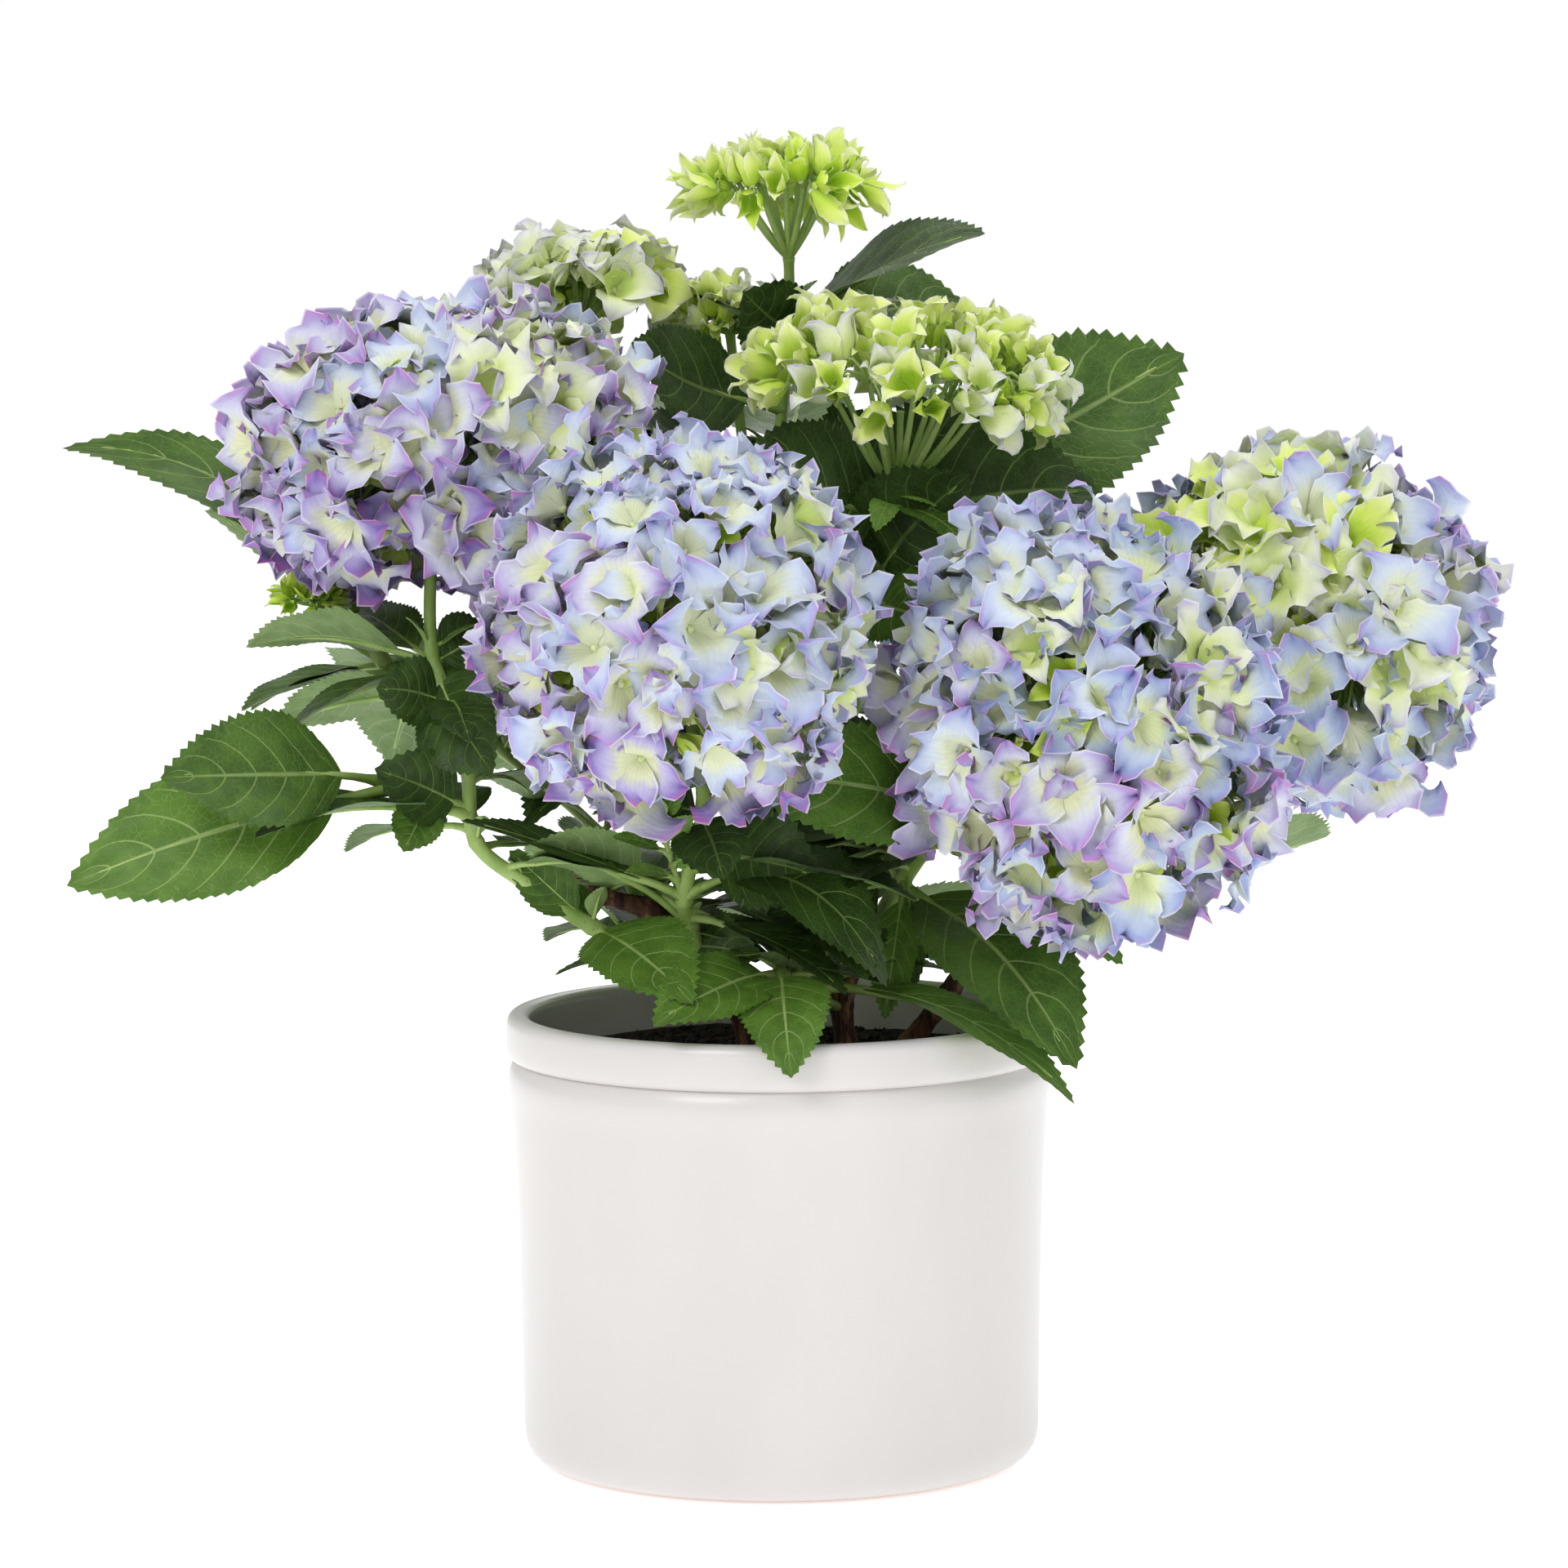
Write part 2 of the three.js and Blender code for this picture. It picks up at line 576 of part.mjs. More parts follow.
/** A ball-shaped solid with the bloom's radii, less what its florets stand out by. */
function coreSolid(bloom, frame, share, flat) {
  const ball = new THREE.IcosahedronGeometry(1, 1);
  const [x, y, z] = bloom.radii.map((radius) => radius * share);
  ball.scale(x, y, z * flat).applyQuaternion(frame.turn).translate(...bloom.centre);
  return solidOf(ball);
}

/** All the pieces of a flower head, to be fused with its stalk. */
function bloomPieces(bloom, hub, random) {
  const frame = bloomFrame(bloom);
  const head = HEADS[bloom.style];
  const narrowest = Math.min(...bloom.radii);
  const core = 1 - (bloom.size * head.inset) / narrowest;
  const pieces = [coreSolid(bloom, frame, core, head.coreFlat)];
  spread(bloom.florets).forEach((unit) => {
    const size = bloom.size * (FLORET.smallest + FLORET.spread * random());
    const spin = random() * Math.PI;
    if (unit.z < head.lowest) return;
    const seat = new THREE.Vector3(unit.x, unit.y, unit.z * head.seatFlat);
    pieces.push(floretSolid(frame.place(seat, core + FLORET.stand / narrowest), frame.normal(unit), size, spin));
  });
  for (let k = 0; k < (bloom.rays ?? 0); k += 1) {
    const turn = (k / bloom.rays) * 2 * Math.PI;
    const way = new THREE.Vector3(RAY.reach * Math.cos(turn), RAY.reach * Math.sin(turn), RAY.height);
    pieces.push(twigBetween(hub, frame.place(way, 1), RAY.radii, SIDES.twig));
  }
  return pieces;
}

// ---------------------------------------------------------------- growth

/** True where a point lies inside the ellipsoid grown by a margin. */
function inside(point, centre, radii, margin) {
  return point.reduce((sum, value, k) => sum + ((value - centre[k]) / (radii[k] + margin)) ** 2, 0) < 1;
}

/** True where a leaf from a root to a tip stays in the crown and off every bloom, limb and the pot. */
function hasRoom(root, tip, paths) {
  return CROWN.tested.every((share) => {
    const p = along(root, tip, share);
    const point = p.toArray();
    if (!inside(point, CROWN.centre, CROWN.radii, 0)) return false;
    const overPot = Math.hypot(p.x, p.y) < POT.rimRadius + CROWN.potClear;
    if (overPot && p.z < POT.height + CROWN.potClear) return false;
    const inBloom = SHOOTS.some(({ bloom }) => bloom && inside(point, bloom.centre, bloom.radii, CROWN.bloomClear));
    return !inBloom && paths.every((samples) => samples.every((q) => q.distanceTo(p) > CROWN.limbClear));
  });
}

/** The leaves that a mass grows by rule, each with its place, tip, width and face. */
function grownLeaves(shoot, path, paths) {
  const random = seeded(shoot.seed);
  const leaves = [];
  for (let k = 0; k < shoot.grown * GROWN.tries && leaves.length < shoot.grown; k += 1) {
    const at = shoot.enter + GROWN.margin + (shoot.bloomFrom - shoot.enter - 2 * GROWN.margin) * random();
    const turn = THREE.MathUtils.degToRad(GROWN.turn * (k + shoot.seed));
    const rise = THREE.MathUtils.degToRad(GROWN.rise * (random() + GROWN.lowest));
    const length = GROWN.length * (1 - GROWN.spread / 2 + GROWN.spread * random());
    const out = new THREE.Vector3(Math.cos(turn) * Math.cos(rise), Math.sin(turn) * Math.cos(rise), Math.sin(rise));
    const root = path.point(at);
    const tip = root.clone().addScaledVector(out, length);
    tip.z -= GROWN.droop * length;
    if (hasRoom(root, tip, paths)) {
      const face = [out.x * GROWN.lean, out.y * GROWN.lean, 1];
      leaves.push({ at, tip: tip.toArray(), width: GROWN.width * length, face });
    }
  }
  return leaves;
}

const built = [];
const massStems = new Map();

/** Keeps a finished solid as a named sub-part, without the loose scraps that cutting and fusing leave. */
function keep(name, solid, material) {
  const [whole] = solid.decompose().sort((a, b) => b.volume() - a.volume());
  built.push({ name, solid: whole, material });
}

/** Fuses pieces to a stem, and leaves out each piece that would touch a finished solid or another mass's stem. */
function fuse(stem, pieces) {
  const neighbours = [...built.map(({ solid }) => solid), ...massStems.values()].filter((other) => other !== stem);
  const isClear = (piece) => neighbours.every((other) => piece.minGap(other, GAP * 2) >= GAP);
  return pieces.filter(isClear).reduce((whole, piece) => whole.add(piece), stem).simplify(FUSE_TOLERANCE);
}

const woodPaths = {};

/** The old stems, from their flat cut above the soil, and the cut stub at the end of the left one. */
function growWood() {
  Object.entries(WOOD).forEach(([name, { path: points, radii }]) => {
    const path = new Path(points);
    woodPaths[name] = path;
    const radiusAt = (place, extra = 0) => {
      const knot = WOOD_KNOT * Math.cos(place * 2 * Math.PI);
      return THREE.MathUtils.lerp(radii[0], radii[1], place / path.last) * (1 + knot) + extra;
    };
    const whole = limb(path, 0, path.last, radiusAt, SIDES.wood, 2);
    keep(`wood_${name}`, whole.trimByPlane([0, 0, 1], SOIL.level + GAP), MATERIALS.wood);
    path.clearance = limb(path, 0, path.last, (place) => radiusAt(place, GAP * 1.3), SIDES.wood, 2);
  });
}

/** A shoot's path, from the axis of its wood. */
function shootPath(shoot) {
  const [wood, place] = shoot.from;
  return new Path([woodPaths[wood].point(place).toArray(), ...shoot.path]);
}

growWood();
keep('pot', pot(), MATERIALS.pot);
keep('potting_soil', soil(), MATERIALS.soil);

const shoots = SHOOTS.map((shoot) => {
  const path = shootPath(shoot);
  const radiusAt = (place) => THREE.MathUtils.lerp(shoot.radii[0], shoot.radii[1], place / path.last);
  const samples = Array.from({ length: path.last * 3 + 1 }, (_, k) => path.point(k / 3));
  return { ...shoot, path, radiusAt, samples };
});

// Limbs first, then blooms, then the leaves that fill the room left.
shoots.forEach(({ name, path, radiusAt, enter, bloomFrom, from: [wood] }) => {
  const whole = limb(path, 0, enter, radiusAt, SIDES.bough, 2);
  keep(`bough_${name}`, whole.subtract(woodPaths[wood].clearance), MATERIALS.bough);
  massStems.set(name, limb(path, path.after(enter, GAP), bloomFrom, radiusAt, SIDES.stem, 2));
});

shoots.filter(({ bloom }) => bloom).forEach(({ name, path, radiusAt, bloom, bloomFrom, seed }) => {
  const start = path.after(bloomFrom, GAP);
  const stalk = limb(path, start, path.last, radiusAt, SIDES.stem, 2);
  const pieces = bloomPieces(bloom, path.point(path.last), seeded(seed * 7));
  keep(`bloom_${name}`, fuse(stalk, pieces), BLOOM_FINISH[name] ?? MATERIALS.blueBloom);
});

shoots.forEach(({ name, path, enter, bloomFrom, leaves, twigs, ...shoot }) => {
  const others = shoots.filter((other) => other.name !== name).map((other) => other.samples);
  const grown = grownLeaves({ ...shoot, enter, bloomFrom }, path, others);
  const pieces = [...leaves, ...grown].map((leaf) => leafSolid(path.point(leaf.at), leaf));
  twigs.forEach((twig) => {
    const root = path.point(twig.at);
    const tip = vec(twig.tip);
    pieces.push(twigBetween(root, tip, [twig.radius, twig.radius * TWIG_TAPER], SIDES.twig));
    twig.leaves.forEach((leaf) => pieces.push(leafSolid(along(root, tip, leaf.at), leaf)));
  });
  keep(`foliage_${name}`, fuse(massStems.get(name), pieces), MATERIALS.foliage);
});

// ---------------------------------------------------------------- scene graph

const plant = new THREE.Group();
built.forEach(({ name, solid, material }) => {
  const { vertProperties, triVerts } = solid.getMesh();
  const geometry = new THREE.BufferGeometry();
  geometry.setAttribute('position', new THREE.BufferAttribute(vertProperties, 3));
  geometry.setIndex(new THREE.BufferAttribute(triVerts, 1));
  geometry.computeVertexNormals();
  const mesh = new THREE.Mesh(geometry, material);
  mesh.name = name;
  plant.add(mesh);
});

export default plant;
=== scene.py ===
"""A mophead hydrangea in bloom, standing in a round glazed pot.

+Z is up and the front looks towards -Y. Sizes are in metres, and mm, trail and leaf turn millimetres into
metres. Old woody stems stand on the potting soil, and green shoots rise from them. Each shoot carries leaves,
and most end in a flower head. Leaves that no list names grow by a rule.
"""

from __future__ import annotations

import logging
import math
from dataclasses import dataclass, field
from enum import Enum
from typing import Any, Callable, Iterable, Sequence

import bpy
import numpy as np
from mathutils import Matrix, Vector


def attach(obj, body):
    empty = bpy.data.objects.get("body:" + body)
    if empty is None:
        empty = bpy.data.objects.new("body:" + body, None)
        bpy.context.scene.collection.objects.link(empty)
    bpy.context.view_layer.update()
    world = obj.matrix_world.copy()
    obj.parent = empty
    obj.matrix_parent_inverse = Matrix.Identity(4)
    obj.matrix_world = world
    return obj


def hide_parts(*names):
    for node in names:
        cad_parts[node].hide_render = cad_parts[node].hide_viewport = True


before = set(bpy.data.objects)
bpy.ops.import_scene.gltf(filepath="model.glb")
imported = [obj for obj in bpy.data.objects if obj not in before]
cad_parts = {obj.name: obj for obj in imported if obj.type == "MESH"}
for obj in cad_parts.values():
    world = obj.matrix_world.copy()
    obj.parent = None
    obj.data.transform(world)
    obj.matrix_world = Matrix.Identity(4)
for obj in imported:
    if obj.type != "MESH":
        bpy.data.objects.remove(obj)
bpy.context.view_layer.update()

LOG = logging.getLogger("hydrangea")
BODY = "root"

Pair = tuple[float, float]
Point = tuple[float, float, float]
Tint = tuple[float, float, float, float]
Material = bpy.types.Material
Piece = bpy.types.Object


# --------------------------------------------------------------------------------------- shader expressions


def tint(code: str) -> Tint:
    """The linear colour of a display colour code such as #a0b0c0."""
    shown = [int(code[k : k + 2], 16) / 255 for k in (1, 3, 5)]
    return (*[c / 12.92 if c <= 0.04045 else ((c + 0.055) / 1.055) ** 2.4 for c in shown], 1.0)


def operator(operation: str, swapped: bool = False) -> Callable[[Field, Any], Field]:
    """Makes one of a field's operators.

    Args:
        operation: The operation of the Math node that it adds.
        swapped: True where the field is the second value.

    Returns:
        The operator's method.
    """

    def method(this: Field, other: Any) -> Field:
        """The operation on a field and a value."""
        return this.math(operation, *((other, this) if swapped else (this, other)))

    return method


class Field:
    """A shader socket with Python's operators: each operator adds one Math node."""

    __add__ = operator("ADD")
    __radd__ = operator("ADD", swapped=True)
    __sub__ = operator("SUBTRACT")
    __rsub__ = operator("SUBTRACT", swapped=True)
    __mul__ = operator("MULTIPLY")
    __rmul__ = operator("MULTIPLY", swapped=True)
    __truediv__ = operator("DIVIDE")
    __pow__ = operator("POWER")

    def __init__(self, bench: Bench, socket: bpy.types.NodeSocket) -> None:
        """Wraps one output socket of a bench's tree."""
        self.bench = bench
        self.socket = socket

    def math(self, operation: str, *values: Any) -> Field:
        """A Math node of that operation on the given values."""
        return self.bench.add("ShaderNodeMath", {"operation": operation}, values)

    def __abs__(self) -> Field:
        """The size of self without its sign."""
        return self.math("ABSOLUTE", self)

    def fraction(self) -> Field:
        """What is left of self above the whole number below it."""
        return self.math("FRACT", self)

    def sine(self) -> Field:
        """The sine of self in radians."""
        return self.math("SINE", self)

    def output(self, number: int) -> Field:
        """Another output of the same node."""
        return Field(self.bench, self.socket.node.outputs[number])

    def step_down(self, start: float, end: float) -> Field:
        """1 below start, 0 above end and smooth between them."""
        values = {"Value": self, "From Min": start, "From Max": end, "To Min": 1.0, "To Max": 0.0}
        return self.bench.add("ShaderNodeMapRange", {"interpolation_type": "SMOOTHSTEP"}, values)


class Bench:
    """One material's node tree, and the calls that add to it."""

    TILES = (4, 2)
    TILE_MARGIN = 0.04

    def __init__(self, name: str) -> None:
        """Makes an empty node material of that name."""
        self.material = bpy.data.materials.new(name)
        self.material.use_nodes = True
        self.tree = self.material.node_tree
        self.tree.nodes.clear()

    def add(
        self, kind: str, settings: dict[str, Any] | None = None, values: Any = None, out: int | str = 0
    ) -> Field:
        """Adds a node.

        Args:
            kind: The node's type.
            settings: What is set on the node first; a ramp's stops are pairs of place and colour.
            values: Numbers, colours or fields by socket name or number, or in the sockets' order.
            out: The output to go on from.

        Returns:
            That output as a field.
        """
        node = self.tree.nodes.new(kind)
        for name, value in (settings or {}).items():
            if name == "stops":
                self._set_stops(node.color_ramp, value)
            else:
                setattr(node, name, value)
        for key, value in values.items() if isinstance(values, dict) else enumerate(values or ()):
            if isinstance(value, Field):
                self.tree.links.new(value.socket, node.inputs[key])
            else:
                node.inputs[key].default_value = value
        return Field(self, node.outputs[out])

    @staticmethod
    def _set_stops(ramp: bpy.types.ColorRamp, stops: Sequence[tuple[float, Tint]]) -> None:
        """Gives a colour ramp its stops.

        Args:
            ramp: The ramp.
            stops: The place and colour of each stop.
        """
        while len(ramp.elements) < len(stops):
            ramp.elements.new(1.0)
        for element, (place, colour) in zip(ramp.elements, stops):
            element.position = place
            element.color = colour

    def blend(self, share: Any, low: Any, high: Any) -> Field:
        """The colour that goes from low to high as share goes from 0 to 1."""
        return self.add("ShaderNodeMix", {"data_type": "RGBA"}, {0: share, 6: low, 7: high}, out=2)

    def place_on_tile(self) -> tuple[Field, Field]:
        """Finds where a point lies on its leaf or sepal.

        Returns:
            Its places across and along, each from 0 to 1.
        """
        spot = self.add("ShaderNodeUVMap", {"uv_map": Batch.MAP})
        parts = self.add("ShaderNodeSeparateXYZ", None, [spot])
        up = parts.output(1)
        span = 1 - 2 * self.TILE_MARGIN
        across = ((parts * self.TILES[0]).fraction() - self.TILE_MARGIN) / span
        along = ((up * self.TILES[1]).fraction() - self.TILE_MARGIN) / span
        return across, along

    def object_noise(self, scale: Point, detail: float, roughness: float = 0.55) -> Field:
        """Makes noise that is fixed to the piece.

        Args:
            scale: Its scale along each axis.
            detail: Its detail.
            roughness: Its roughness.

        Returns:
            The noise.
        """
        spot = self.add("ShaderNodeTexCoord", out="Object")
        scaled = self.add("ShaderNodeMapping", None, {"Vector": spot, "Scale": scale})
        values = {"Vector": scaled, "Scale": 1.0, "Detail": detail, "Roughness": roughness}
        return self.add("ShaderNodeTexNoise", None, values)

    def bump(self, height: Field, strength: float, distance: float) -> Field:
        """A normal that follows a height."""
        values = {"Height": height, "Strength": strength, "Distance": distance}
        return self.add("ShaderNodeBump", None, values)

    def finish(self, colour: Any, roughness: Any, normal: Field | None = None, **fixed: Any) -> Material:
        """Ends the tree with its surface.

        Args:
            colour: The base colour.
            roughness: The roughness.
            normal: The bumped normal, where there is one.
            fixed: Values of other sockets by name, with _ for a space, the same all over.

        Returns:
            The finished material.
        """
        values: dict[str, Any] = {"Base Color": colour, "Roughness": roughness}
        values.update({name.replace("_", " "): value for name, value in fixed.items()})
        if normal is not None:
            values["Normal"] = normal
        surface = self.add("ShaderNodeBsdfPrincipled", None, values)
        node = self.tree.nodes.new("ShaderNodeOutputMaterial")
        self.tree.links.new(surface.socket, node.inputs["Surface"])
        return self.material


# ------------------------------------------------------------------------------------------------- finishes


@dataclass(frozen=True)
class GlazeFinish:
    """Off-white satin glaze, with a bare pinkish line round the foot."""

    glaze: Tint = tint("#dad6d4")
    thin: Tint = tint("#d3cfcd")
    clay: Tint = tint("#c9ab9f")
    foot: Pair = (0.0004, 0.0016)
    roughness: float = 0.30
    clay_roughness: float = 0.45
    drift: Point = (9.0, 9.0, 5.0)
    drift_edge: Pair = (0.35, 0.75)
    drift_roughness: float = 0.06
    ripple: Point = (14.0, 14.0, 90.0)
    ripple_depth: float = 0.0006
    coat: Pair = (0.25, 0.18)

    def material(self) -> Material:
        """Mixes the glaze.

        Returns:
            Its material.
        """
        bench = Bench("pot_glaze")
        cloud = bench.object_noise(self.drift, 4.0)
        colour = bench.blend(cloud.step_down(*self.drift_edge), self.glaze, self.thin)
        spot = bench.add("ShaderNodeTexCoord", out="Object")
        foot = bench.add("ShaderNodeSeparateXYZ", None, [spot]).output(2).step_down(*self.foot)
        colour = bench.blend(foot, colour, self.clay)
        normal = bench.bump(bench.object_noise(self.ripple, 2.0), 0.25, self.ripple_depth)
        roughness = self.roughness + self.clay_roughness * foot + self.drift_roughness * cloud
        weight, softness = self.coat
        return bench.finish(colour, roughness, normal, Coat_Weight=weight, Coat_Roughness=softness)


@dataclass(frozen=True)
class SoilFinish:
    """Dark moist potting soil with lighter fibres."""

    dark: Tint = tint("#1d1613")
    light: Tint = tint("#43342a")
    grain: Point = (420.0, 420.0, 420.0)
    fibre_edge: Pair = (0.66, 0.48)
    grain_depth: float = 0.0012
    roughness: float = 0.92

    def material(self) -> Material:
        """Mixes the soil.

        Returns:
            Its material.
        """
        bench = Bench("potting_soil")
        grain = bench.object_noise(self.grain, 5.0, 0.7)
        colour = bench.blend(grain.step_down(*self.fibre_edge), self.dark, self.light)
        return bench.finish(colour, self.roughness, bench.bump(grain, 0.8, self.grain_depth))


@dataclass(frozen=True)
class BarkFinish:
    """Brown flaking bark with fibres that run along the stem."""

    deep: Tint = tint("#2c1a12")
    bark: Tint = tint("#6b4330")
    flake: Tint = tint("#9a7452")
    fibre: Point = (520.0, 520.0, 70.0)
    fibre_edge: Pair = (0.62, 0.38)
    fibre_depth: float = 0.0009
    patch: Point = (150.0, 150.0, 60.0)
    patch_edge: Pair = (0.66, 0.54)
    patch_relief: float = 0.6
    roughness: float = 0.82

    def material(self) -> Material:
        """Mixes the bark.

        Returns:
            Its material.
        """
        bench = Bench("old_wood")
        fibre = bench.object_noise(self.fibre, 6.0, 0.65)
        patch = bench.object_noise(self.patch, 3.0)
        colour = bench.blend(fibre.step_down(*self.fibre_edge), self.bark, self.deep)
        colour = bench.blend(patch.step_down(*self.patch_edge), colour, self.flake)
        normal = bench.bump(fibre + self.patch_relief * patch, 0.9, self.fibre_depth)
        return bench.finish(colour, self.roughness, normal)


@dataclass(frozen=True)
class StemFinish:
    """Smooth green shoots, paler in patches and flecked."""

    green: Tint = tint("#7f9d48")
    pale: Tint = tint("#a0b96a")
    fleck: Tint = tint("#5f6c36")
    mottle: Point = (60.0, 60.0, 22.0)
    mottle_edge: Pair = (0.62, 0.38)
    mottle_roughness: float = 0.12
    flecks: Point = (900.0, 900.0, 350.0)
    fleck_edge: Pair = (0.70, 0.64)
    fleck_share: float = 0.5
    fleck_depth: float = 0.0003
    roughness: float = 0.42
    glow: float = 0.08
    glow_depth: Point = (0.002, 0.003, 0.001)

    def material(self) -> Material:
        """Mixes the green of the shoots.

        Returns:
            Its material.
        """
        bench = Bench("green_stem")
        mottle = bench.object_noise(self.mottle, 3.0)
        flecks = bench.object_noise(self.flecks, 2.0)
        colour = bench.blend(mottle.step_down(*self.mottle_edge), self.green, self.pale)
        colour = bench.blend(flecks.step_down(*self.fleck_edge) * self.fleck_share, colour, self.fleck)
        normal = bench.bump(flecks, 0.3, self.fleck_depth)
        glow = {"Subsurface_Weight": self.glow, "Subsurface_Radius": self.glow_depth}
        return bench.finish(colour, self.roughness + self.mottle_roughness * mottle, normal, **glow)


@dataclass(frozen=True)
class Veins:
    """The side veins of a leaf: how many, how far they bend to the tip, and how that bend grows outwards."""

    count: int = 6
    bend: float = 0.30
    curve: float = 1.45

    def phase(self, along: Any, out: Any) -> Any:
        """A number that goes up by 1 from one side vein to the next."""
        return (along - self.bend * out**self.curve) * self.count


@dataclass(frozen=True)
class LeafFinish:
    """One side of a leaf: green, with paler veins that sink in on its face and stand out on its back."""

    name: str
    blade: Tint
    shade: Tint
    vein: Tint
    roughness: float
    raised: bool
    veins: Veins = Veins()
    vein_edge: Pair = (0.008, 0.055)
    vein_end: Pair = (0.72, 0.98)
    vein_share: float = 0.6
    midrib_edge: Pair = (0.025, 0.07)
    midrib_taper: float = 0.03
    cell_scale: float = 17.0
    cell_edge: Pair = (0.02, 0.09)
    cell_share: float = 0.10
    cell_relief: float = 0.30
    cloud_scale: float = 3.2
    cloud_edge: Pair = (0.62, 0.36)
    swell: float = 0.9
    relief: float = 0.0006

    def material(self) -> Material:
        """Mixes the leaf side.

        Returns:
            Its material.
        """
        bench = Bench(self.name)
        across, along = bench.place_on_tile()
        out = abs(across * 2 - 1)
        off_vein = abs((self.veins.phase(along, out) + 0.5).fraction() - 0.5)
        side_vein = off_vein.step_down(*self.vein_edge) * out.step_down(*self.vein_end)
        midrib = (out + along * self.midrib_taper).step_down(*self.midrib_edge)
        veins = side_vein.math("MAXIMUM", side_vein * 0.8, midrib)
        spot = bench.add("ShaderNodeCombineXYZ", None, [across * 1.0, along * 2.0])
        values = {"Vector": spot, "Scale": self.cell_scale}
        cells = bench.add("ShaderNodeTexVoronoi", {"feature": "DISTANCE_TO_EDGE"}, values)
        small_veins = cells.step_down(*self.cell_edge)
        values = {"Vector": spot, "Scale": self.cloud_scale, "Detail": 3.0}
        cloud = bench.add("ShaderNodeTexNoise", None, values)
        colour = bench.blend(cloud.step_down(*self.cloud_edge), self.blade, self.shade)
        colour = bench.blend(small_veins * self.cell_share, colour, self.vein)
        colour = bench.blend(veins * self.vein_share, colour, self.vein)
        sign = 1.0 if self.raised else -1.0
        height = veins * sign + small_veins * (self.cell_relief * sign) + off_vein * self.swell
        normal = bench.bump(height, 0.55, self.relief)
        return bench.finish(colour, self.roughness + 0.1 * cloud, normal, Specular_IOR_Level=0.3)


@dataclass(frozen=True)
class PetalFinish:
    """A sepal's colours from heart to tip, with fine veins, painted shade in the tip's fold and painted rim
    light on its pale edge.
    """

    name: str
    heart: Tint
    body: Tint
    rim: Tint
    tip: Tint
    # crease is painted shade: a darker colour for the sepal's midline fold near its tip.
    crease: Tint
    stops: tuple[float, ...] = (0.0, 0.30, 0.52, 0.76, 0.96)
    # edge is a pale colour along the sepal's rim: partly its own paler margin, partly painted rim light.
    edge: Tint = tint("#eceaf2")
    pale_edge_and_rim_light_width: Pair = (0.03, 0.11)
    pale_edge_and_rim_light_share: float = 0.55
    vein_pace: float = 58.0
    vein_share: float = 0.10
    vein_depth: float = 0.0002
    fold_shade_share: float = 0.6
    fold_shade_ends: Pair = (0.55, 0.42)
    cloud_scale: float = 3.4
    cloud_share: float = 0.26
    glow_depth: Point = (0.002, 0.002, 0.002)

    def material(self) -> Material:
        """Mixes the sepal's colours.

        Returns:
            Their material.
        """
        bench = Bench(self.name)
        across, along = bench.place_on_tile()
        out = abs(across * 2 - 1)
        spot = bench.add("ShaderNodeCombineXYZ", None, [across, along])
        values = {"Vector": spot, "Scale": self.cloud_scale, "Detail": 2.0}
        cloud = bench.add("ShaderNodeTexNoise", None, values)
        reach = along * 0.88 + out * out * along * 0.30 + (cloud - 0.5) * self.cloud_share
        colours = (self.heart, self.heart, self.body, self.rim, self.tip)
        colour = bench.add("ShaderNodeValToRGB", {"stops": list(zip(self.stops, colours))}, [reach])
        # Painted shade: the crease colour darkens the midline fold towards the tip.
        side, end = self.fold_shade_ends
        fold = out.step_down(0.0, side) * (1 - along).step_down(0.0, end)
        colour = bench.blend(fold * self.fold_shade_share, colour, self.crease)
        veins = (across * self.vein_pace).sine() * 0.5 + 0.5
        colour = bench.blend(veins * self.vein_share, colour, self.rim)
        # Painted rim light, partly the sepal's pale margin: the edge colour is blended in along the rim.
        light = (1 - out).step_down(*self.pale_edge_and_rim_light_width) * self.pale_edge_and_rim_light_share
        colour = bench.blend(light, colour, self.edge)
        normal = bench.bump(veins, 0.25, self.vein_depth)
        glow = {"Subsurface_Weight": 0.45, "Subsurface_Radius": self.glow_depth}
        return bench.finish(colour, 0.6, normal, Specular_IOR_Level=0.25, **glow)


@dataclass(frozen=True)
class EyeFinish:
    """The bead in the middle of a floret."""

    green: Tint = tint("#c3d58e")
    pale: Tint = tint("#e3e9c4")
    cloud: Point = (700.0, 700.0, 700.0)

    def material(self) -> Material:
        """Mixes the bead's green.

        Returns:
            Its material.
        """
        bench = Bench("floret_eye")
        colour = bench.blend(bench.object_noise(self.cloud, 1.0).step_down(0.6, 0.4), self.green, self.pale)
        return bench.finish(colour, 0.45)


class Palette(Enum):
    """Named colourings, each with its display colour codes as its value."""

    @property
    def number(self) -> int:
        """The number of the colouring's tile and material."""
        return list(type(self)).index(self)

    @property
    def tints(self) -> list[Tint]:
        """The colouring's colours."""
        return [tint(code) for code in self.value.split()]


class LeafTone(Palette):
    """The greens of the leaves, from old to young and also from painted shade to painted light: blade, shade
    and vein of the face, then of the back.
    """

    # DARK is partly painted shade for leaves deep in the crown, and BRIGHT is partly painted light for leaves
    # that are lit.
    DARK = "#334f17 #263f10 #7d9650 #5d7745 #50693a #9bb07e"
    MID = "#48691f #395818 #97af63 #728c55 #647f49 #acbf8e"
    BRIGHT = "#587d28 #4a6e20 #acc57c #809a60 #728d52 #b9cb9a"
    YOUNG = "#749a3c #628a30 #bdd28c #8fa868 #809a5a #c3d4a2"

    @property
    def face(self) -> LeafFinish:
        """The finish of the leaf's upper side."""
        return LeafFinish(f"leaf_face_{self.name.lower()}", *self.tints[:3], 0.36, False)

    @property
    def back(self) -> LeafFinish:
        """The finish of the leaf's underside."""
        return LeafFinish(f"leaf_back_{self.name.lower()}", *self.tints[3:], 0.58, True)


